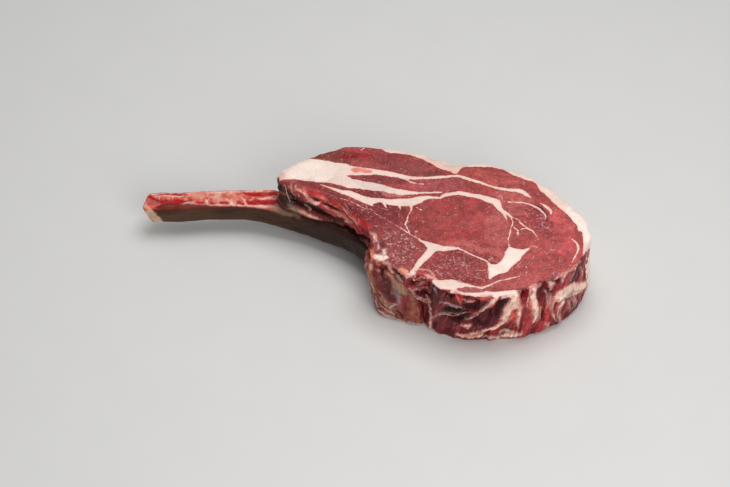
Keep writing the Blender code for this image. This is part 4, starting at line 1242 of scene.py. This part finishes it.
RIB_RED = (
    ((-166, 44.8, 30.5, 1.6), (-155.5, 44.2, 31, 2.4), (-147, 44, 31.5, 2.2), (-141, 44.5, 31.5, 0.9)),
    ((-95.5, 53.2, 31, 1.4), (-88, 52.6, 31, 2.3), (-77.5, 52.6, 31.5, 2.2), (-71, 53.5, 31.5, 2.0)),
    ((-93, 43.8, 31, 2.2), (-83.5, 42.8, 31.5, 2.8), (-73.5, 43, 31.5, 2.8), (-68, 44.5, 31.5, 2.2)),
    ((-101, 43, 30.5, 1.6), (-97.5, 42, 30.5, 1.6)),
    ((-115, 43.5, 31, 1.5), (-110, 42, 30.5, 1.5)),
    ((-122.5, 43, 30.5, 1.5), (-120.5, 42, 30.5, 1.2)),
    ((-134, 43.5, 31, 1.4), (-129.5, 43, 31, 1.2)),
    ((-164.5, 52, 30.5, 1.0), (-148.5, 52, 31, 1.1)),
    ((-172.5, 50.5, 30, 1.6), (-166.5, 46.5, 30.5, 1.4)),
)
RIB_END_CREAM = (
    ((-175, 43.5, 29.5, 1.4), (-174, 38.5, 29, 2.0), (-170, 36.5, 25, 2.2), (-166.5, 37, 19.5, 1.8),
     (-164.5, 37, 15.5, 1.2)),
)
RIB_END_GREY = (
    ((-172, 46, 30, 1.0), (-169.5, 44, 30, 1.8), (-166.5, 43, 30, 1.2)),
    ((-167, 38, 13.5, 1.2), (-169.5, 37.5, 14.5, 1.0)),
)
RIB_BROWN_LINE = (
    ((-166, 38.2, 30.4, 1.2), (-159.5, 38.4, 30.4, 3.0), (-147, 38.6, 30, 2.8), (-131.5, 39, 29.2, 2.2),
     (-117, 39.4, 28.6, 1.3), (-99.5, 39.5, 28, 0.9), (-71, 34.5, 29.5, 0.9), (-51, 26.5, 28.5, 1.0)),
)
RIB_MEMBRANE = (((-76, 37, 30.5, 1.2), (-69, 34.5, 31, 2.6), (-62, 31.5, 31, 3.2), (-54, 28, 31, 2.0)),)

rib_points, rib_faces = skin_of("rib_bone", RIB_SQUARE)
rib_points = eased(rib_points, rib_faces, rounds=10)
rib_normals = facing(rib_points, rib_faces)
rib_x, _, rib_z = rib_points.T
rib_spots = rib_points + lumps_each_way(rib_points, 3.5, (61, 62, 63)) * 0.6
tangled = rib_points + lumps_each_way(rib_points, 3, (61, 62, 63)) * 1.6
rib_upper = step_up(rib_normals[:, 2], 0.35, 0.75) * step_up(rib_z, 25, 28)
rib_upper *= 1 - step_up(rib_x + 6 * lumps(rib_points, 5, 92), -80, -60)
rib_grain = lumps(rib_points / (12, 1, 1), 1.6, 64)
cream = inside_lines(rib_spots, RIB_CREAM)
blood = inside_lines(rib_spots, RIB_RED)
brown_line = step_up(inside_lines(rib_spots, RIB_BROWN_LINE), -1.2, 0.6)
brown_above = brown_line * (1 - step_up(rib_x, -128, -108))
bare_end = 1 - step_up(rib_x, -120, -70)
# Lighter tan on the bare bone towards the tip, more of it low on the side: partly the bone's tone, partly a
# painted sheen.
tan_and_sheen = step_up(lumps(rib_points / (5, 1, 1), 6, 89) - 0.05 * (rib_z - 20), -0.9, 0.5)
bone_colour = painted_over(plain(BONE_BROWN, rib_points), (
    ((0.034, 0.012, 0.006), step_up(rib_grain + 0.5 * lumps(rib_points / (4, 1, 1), 8, 65), -0.1, 0.6)),
    # painted shade, darker as the rib runs towards and under the meat
    ((0.026, 0.008, 0.005), step_up(rib_x, -80, -20) * 0.75),
    # lighter tan, partly a painted sheen
    ((0.088, 0.042, 0.022), bare_end * tan_and_sheen),
    ((0.120, 0.018, 0.009), brown_line * 0.9),
))

# The scraps of flesh on its upper side: rose and dark red, with blood, a cream net and cream strings.
rosy = step_up(rib_x, -146, -128) * (1 - step_up(rib_x, -106, -90))
dark_spots = step_up(lumps(rib_points / (1.6, 1, 1), 3.4, 67), 0.0, 0.6)
bloody = step_up(blood + 0.7 * lumps(rib_points, 2.4, 84), -0.8, 0.5)
lace = step_up(0.15 - np.abs(lumps(tangled, 5.5, 85)), 0.0, 0.12)
lace *= step_up(lumps(rib_points, 8, 86), -0.5, 0.3)
lace = np.maximum(lace, step_up(0.12 - np.abs(lumps(tangled, 3.2, 87)), 0.0, 0.1) * 0.6)
stringy = step_up(cream + 0.7 * lumps(rib_points, 2.0, 88), -0.6, 0.6)
upper_colour = painted_over(plain(RIB_FLESH, rib_points), (
    ((0.800, 0.270, 0.190), step_up(rosy + 0.7 * lumps(rib_points, 5, 66), 0.3, 1.1)),
    ((0.360, 0.012, 0.014), dark_spots * 0.8 * (1 - 0.5 * rosy)),
    ((0.400, 0.003, 0.009), bloody * 0.97),
    ((0.830, 0.500, 0.410), lace * 0.75 * (1 - 0.9 * bloody)),
    ((0.920, 0.570, 0.460), stringy * 0.85 * (1 - 0.6 * bloody)),
    ((0.150, 0.016, 0.010), brown_above * 0.95),
))

# The sawn tip: cream where the saw went through, and grey in two places.
tip_edge = rib_x + 0.6 * (rib_z - 30) + 2.0 * lumps(rib_points, 4, 94)
sawn_tip = (1 - step_up(tip_edge, -174, -168)) * (1 - step_up(rib_normals[:, 2], 0.4, 0.75))
tip_cream = np.maximum(inside_lines(tangled, RIB_END_CREAM), 3.2 * sawn_tip - 2.2)
tip_cream = step_up(tip_cream + 0.9 * lumps(rib_points, 2.2, 90), -1.0, 1.2)
tip_grey = step_up(inside_lines(tangled, RIB_END_GREY) + 0.7 * lumps(rib_points, 1.8, 93), -1.0, 0.8)
membrane = step_up(inside_lines(tangled, RIB_MEMBRANE), -2.0, 1.5)
bone_colour = painted_over(bone_colour, (
    (upper_colour, rib_upper),
    ((0.250, 0.150, 0.100), membrane * 0.75),
    ((0.880, 0.560, 0.390), tip_cream * (0.70 + 0.30 * lumps(rib_points, 3, 91))),
    ((0.200, 0.120, 0.110), tip_grey * 0.8),
))
rib_relief = 0.25 * rib_grain + 0.3 * lumps(rib_points, 8, 68)
flesh_relief = 0.35 * step_up(cream, -0.8, 0.6) - 0.6 * step_up(blood, -0.8, 1.0)
rib_relief += rib_upper * (flesh_relief + 0.25 * lumps(rib_points, 3, 69))
rib_points, rib_normals = pressed(rib_points, rib_faces, rib_normals, rib_relief)

scraped = Finish("scraped_bone")
spot = scraped.place(1, 1, 1)
long_grain = scraped.noise(scraped.place(14, 1, 1), 1.3, 3.0, 0.6)
pits = scraped.noise(spot, 0.9, 2.0, 0.6)
blotch = scraped.noise(spot, 6.0, 3.0)
flesh_left = scraped.painted("flesh_left")
bone_light = 0.55 + long_grain * 0.60 + blotch * 0.30
flesh_light = 0.70 + pits * 0.30 + blotch * 0.30
light = bone_light * (1 - flesh_left) + flesh_light * flesh_left
body = scraped.shade(scraped.painted_colour("bone"), light)
net = scraped.band(abs(scraped.noise(spot, 4.0, 3.0, 0.6, 1.0) - 0.5), 0.0, 0.035, 1.0, 0.0) * flesh_left
body = scraped.mix(net * 0.30, body, (0.80, 0.50, 0.42))
smoothness = 0.44 + (pits - 0.5) * 0.25 - flesh_left * 0.06
height = long_grain * 0.6 + pits * 0.3 + net * 0.4
bone_wet = {"Coat Weight": 0.10, "Coat Roughness": 0.14, "Specular IOR Level": 0.12,
            "Subsurface Weight": 0.04, "Subsurface Radius": (1.0, 0.5, 0.35), "Subsurface Scale": 0.001}
scraped_bone = scraped.done(body, smoothness, height, 0.22, **bone_wet)
rib_paint = {"bone": bone_colour, "flesh_left": rib_upper * (1 - 0.85 * np.maximum(bloody, brown_above))}
piece_of("rib", (rib_points, rib_faces, rib_normals), rib_paint, "rib_bone", "rib", scraped_bone)

# The backbone.
# A sawn block at the near left corner: tan bone with purple marrow, a membrane over its front ridge whose
# wet blue grey sheen is painted on, and pale rims of gristle along its edges.
CHINE_SQUARE = 0.5
CHINE_BROWN = (0.240, 0.056, 0.042)
# Two clefts and three small pits, then touches of colour as on the side of the slice. The clefts and
# pits are painted near black as painted shade.
CHINE_PITS = (
    ((22, -50, 48.5, 1.4), (24.5, -52.5, 47.5, 2.2), (26.5, -54, 46, 1.6)),
    ((12.5, -47, 48, 0.8), (14, -49, 45.5, 1.1), (14.5, -49.5, 41.5, 0.8)),
    ((12.5, -51.5, 21.5, 0.9),),
    ((25, -56, 9.5, 1.2), (28, -58, 8, 1.6), (29.5, -59, 5.5, 1)),
    ((13.5, -52.5, 11.5, 0.5), (15.5, -53, 9, 0.5)),
)
CHINE_TOUCHES = (
    ((0.66, 0.33, 0.26), 1.2, 0.8, (
        ((5, -45, 46, 1.2), (7, -45.5, 52.5, 1.4), (9.5, -43.5, 55, 1.2)),
    )),
    ((0.34, 0.095, 0.045), 3.0, 0.85, (
        ((5, -46.5, 42, 2), (6, -45.5, 30.5, 2.6), (8, -47.5, 24, 2)),
    )),
    ((0.17, 0.022, 0.02), 2.0, 0.9, (
        ((8, -47.5, 43, 2), (11, -49, 36.5, 3), (13, -50, 29, 3), (12.5, -51, 23, 1.5)),
    )),
    ((0.085, 0.014, 0.016), 2.4, 0.95, (
        ((17, -51, 39.5, 2.5), (17, -51.5, 32.5, 3.5), (18.5, -52, 25.5, 3.5), (21, -53.5, 20.5, 2.5)),
    )),
    ((0.50, 0.23, 0.155), 2.0, 0.8, (
        ((14.5, -41.5, 48.5, 2.2), (17.5, -47.5, 48.5, 2.2), (20.5, -52, 44, 1.8), (24.5, -54.5, 39, 2),
         (28.5, -56, 34, 1.8)),
    )),
    BACKBONE_RIDGE,
    ((0.33, 0.165, 0.095), 2.0, 0.85, (
        ((29, -55, 46, 2), (31.5, -56.5, 42.5, 2.5), (30.5, -56.5, 36, 2.5)),
    )),
    # grey of the membrane, partly a painted wet sheen
    ((0.33, 0.24, 0.19), 2.6, 0.7, (
        ((23, -54, 34, 1.5), (27, -55.5, 31.5, 2.5), (30.5, -57, 30.5, 1.8)),
        ((23, -54, 29, 1), (26, -55.5, 26, 1.2)),
    )),
    # blue grey painted wet sheen on the membrane
    ((0.27, 0.20, 0.23), 1.8, 0.7, (
        ((26, -55.5, 28, 1), (27, -56, 22, 1.3), (25.5, -56, 17.5, 1)),
    )),
    ((0.27, 0.14, 0.09), 2.4, 0.7, (
        ((14, -52.5, 20, 1.4), (17, -53.5, 16, 2), (21, -54.5, 11, 1.8), (24, -55.5, 6.5, 1.2)),
    )),
    ((0.22, 0.03, 0.03), 2.2, 0.9, (
        ((31, -57.5, 26.5, 2.5), (33, -59, 20.5, 3.2), (32, -59.5, 12, 2.6)),
    )),
    ((0.290, 0.078, 0.052), 2.4, 0.85, (
        ((36, -59.5, 21.5, 1.5), (38, -61, 15, 3), (38.5, -62, 8, 3)),
        ((40, -61.5, 14, 1.2), (42, -62, 8, 1.2)),
    )),
    ((0.26, 0.02, 0.025), 1.0, 0.9, (
        ((42.5, -59, 20.5, 1), (44, -59.5, 13.5, 1.6), (43.5, -62, 8, 1.2)),
    )),
    ((0.66, 0.45, 0.42), 0.8, 0.85, (
        ((19.5, -54, 11.5, 0.7), (22, -54.5, 14.5, 0.8), (24, -55.5, 16.5, 0.9)),
        ((15.5, -53, 15.5, 0.5), (18.5, -54, 12.5, 0.5)),
    )),
    ((0.55, 0.2, 0.17), 1.0, 0.8, (
        ((2.5, -42, 47, 1), (6.5, -43.5, 48.5, 1.2), (9.5, -46, 48, 1.2), (12.5, -48.5, 46, 0.9)),
    )),
    ((0.46, 0.25, 0.2), 0.8, 0.8, (
        ((2, -42.5, 41, 0.6), (4, -43.5, 33, 0.6), (5.5, -44, 24, 0.6)),
        ((8, -48, 23.5, 0.8), (9.5, -50, 17.5, 0.8), (10.5, -50.5, 10, 0.8)),
        ((11.5, -50, 24.5, 0.6), (14, -52, 22, 0.7), (17, -53.5, 17, 0.6)),
    )),
    ((0.6, 0.42, 0.36), 0.8, 0.85, (
        ((11, -50.5, 5, 1), (15.5, -54, 3.5, 0.9), (20.5, -55, 1.5, 0.8), (29.5, -58.5, 2, 0.8),
         (37.5, -62, 3.5, 0.7), (43.5, -62.5, 3, 0.8)),
        ((12.5, -52, 12.5, 0.6), (16.5, -53.5, 9, 0.7), (20.5, -54.5, 6.5, 0.8), (23.5, -55.5, 5.5, 0.6)),
        ((47.5, -53, 9.5, 0.8), (48, -55.5, 5.5, 0.8), (46, -60.5, 3, 0.8)),
    )),
    # painted shade in the clefts and pits
    ((0.055, 0.004, 0.005), 1.0, 0.95, CHINE_PITS[:2]),
    ((0.045, 0.012, 0.01), 0.7, 0.95, CHINE_PITS[2:]),
)

chine_points, chine_faces = skin_of("chine_bone", CHINE_SQUARE)
chine_points = eased(chine_points, chine_faces, rounds=8)
chine_normals = facing(chine_points, chine_faces)
chine_spots = chine_points + lumps_each_way(chine_points, 5, (71, 72, 73)) * 1.2
chine_spots += lumps_each_way(chine_points, 1.8, (79, 80, 81)) * 0.8
dug = step_up(inside_lines(chine_spots, CHINE_PITS), -0.7, 0.9)
knobs = lumps(chine_points, 4, 77)
chine_colour = painted_over(plain(CHINE_BROWN, chine_points), (
    ((0.420, 0.190, 0.145), step_up(lumps(chine_points, 6, 74), 0.1, 0.7) * 0.5),
    ((0.130, 0.020, 0.020), step_up(lumps(chine_points, 5, 78), 0.1, 0.7) * 0.6),
))
(chine_colour,), _ = touched([chine_colour], chine_spots, CHINE_TOUCHES)
runs = lumps(chine_points / (1, 1, 6), 1.8, 82)
chine_colour *= (1 + 0.30 * knobs + 0.30 * runs + 0.2 * lumps(chine_points, 1.6, 83))[:, None]
chine_relief = 0.4 * runs + 0.5 * lumps(chine_points, 6, 75) + 0.35 * knobs
chine_relief = chine_relief + 0.2 * lumps(chine_points, 2, 76) - 1.3 * dug
chine_points, chine_normals = pressed(chine_points, chine_faces, chine_normals, chine_relief)

sawn = Finish("sawn_bone")
spot = sawn.place(1, 1, 1)
blotch = sawn.noise(spot, 3.2, 4.0, 0.6, 0.6)
pores = sawn.noise(spot, 0.8, 2.0, 0.6)
streaks = sawn.noise(sawn.place(1, 1, 7), 2.0, 3.0, 0.6)
body = sawn.shade(sawn.painted_colour("bone"), 0.40 + blotch * 0.60 + streaks * 0.40 + pores * 0.20)
skin_bits = sawn.band(blotch, 0.60, 0.70)
body = sawn.mix(skin_bits * 0.35, body, (0.62, 0.42, 0.37))
height = blotch * 0.7 + pores * 0.35 + streaks * 0.3
sawn_bone = sawn.done(body, 0.34 + (pores - 0.5) * 0.3, height, 0.30, **bone_wet)
chine_skin = (chine_points, chine_faces, chine_normals)
piece_of("backbone", chine_skin, {"bone": chine_colour}, "chine_bone", "chine", sawn_bone)

# The gristle round the backbone.
# A thin pale rim of gristle is left along the sawn edges, in uneven beads.
GRISTLE = (
    ((3.2, -44.8, 44, 0.3), (5.5, -45.5, 33, 0.5), (7.5, -46.8, 24, 0.5), (9, -49, 15, 0.4),
     (10.5, -51, 8, 0.5)),
    ((11, -51, 5.5, 0.5), (15.5, -54.2, 3.4, 0.7), (20.5, -55.6, 2.0, 0.6), (29.5, -59, 1.8, 0.6),
     (37.5, -62.2, 2.4, 0.6),
     (43.5, -62.8, 2.6, 0.6)),
    ((13, -52.6, 12.5, 0.3), (17, -54, 9, 0.5), (21, -55, 6.5, 0.5), (24, -56, 5.5, 0.3)),
    ((47.5, -54, 11, 0.4), (47.5, -56, 6, 0.6), (45.5, -61, 3.2, 0.5)),
    ((19.5, -54.3, 11.5, 0.3), (22, -55, 14.5, 0.5), (24, -56, 16.5, 0.3)),
)
gristle = strand_finish("gristle", (0.58, 0.40, 0.34), (0.36, 0.16, 0.12), 0.5)
strands("gristle_rims", GRISTLE, 1.4, 9.0, gristle, "chine")

# The floor, the light and the camera.
# A plain pale floor, a large soft lamp above, a weaker one at the front right, and an even pale sky.
FLOOR_HALF = 6.0
floor_mesh = bpy.data.meshes.new("floor")
corners = [(x * FLOOR_HALF, y * FLOOR_HALF, 0) for x, y in ((-1, -1), (1, -1), (1, 1), (-1, 1))]
floor_mesh.from_pydata(corners, [], [(0, 1, 2, 3)])
floor = placed("floor", floor_mesh)
pale_floor = Finish("pale_floor")
spot = pale_floor.place(1, 1, 1)
tone = pale_floor.shade((0.70, 0.70, 0.69), 0.98 + pale_floor.noise(spot, 40.0) * 0.04)
floor_mesh.materials.append(pale_floor.done(tone, 0.6, pale_floor.noise(spot, 2.0), 0.02))

LAMP_AIM = Vector((0, 0, 0.03))
for name, place, size, power, tone in (
    ("key", (0.15, 0.20, 1.30), 0.9, 10.3, (1.0, 0.98, 0.96)),
    ("front", (0.45, -1.15, 0.80), 0.8, 9.0, (1.0, 0.98, 0.97)),
):
    lamp = bpy.data.lights.new(name, "AREA")
    lamp.size = size
    lamp.energy = power
    lamp.color = tone
    holder = placed(name, lamp)
    holder.location = place
    holder.rotation_euler = (LAMP_AIM - Vector(place)).to_track_quat("-Z", "Y").to_euler()

SKY_TINT = (0.96, 0.98, 1.0, 1.0)
SKY_STRENGTH = 0.28
sky = bpy.data.worlds.new("sky")
sky.use_nodes = True
sky_light = sky.node_tree.nodes["Background"].inputs
sky_light["Color"].default_value = SKY_TINT
sky_light["Strength"].default_value = SKY_STRENGTH
bpy.context.scene.world = sky
bpy.context.scene.view_settings.view_transform = "Standard"

CAMERA_AIM = Vector((0.00099, 0.00006, 0.027))
CAMERA_DISTANCE = 1.357
CAMERA_TILT = math.radians(45)
LENS_LENGTH = 85
SENSOR_WIDTH = 36
lens = bpy.data.cameras.new("camera")
lens.lens = LENS_LENGTH
lens.sensor_fit = "HORIZONTAL"
lens.sensor_width = SENSOR_WIDTH
camera = placed("camera", lens)
towards_camera = Vector((0, -math.cos(CAMERA_TILT), math.sin(CAMERA_TILT)))
camera.location = CAMERA_AIM + CAMERA_DISTANCE * towards_camera
camera.rotation_euler = (math.pi / 2 - CAMERA_TILT, 0, 0)
bpy.context.scene.camera = camera
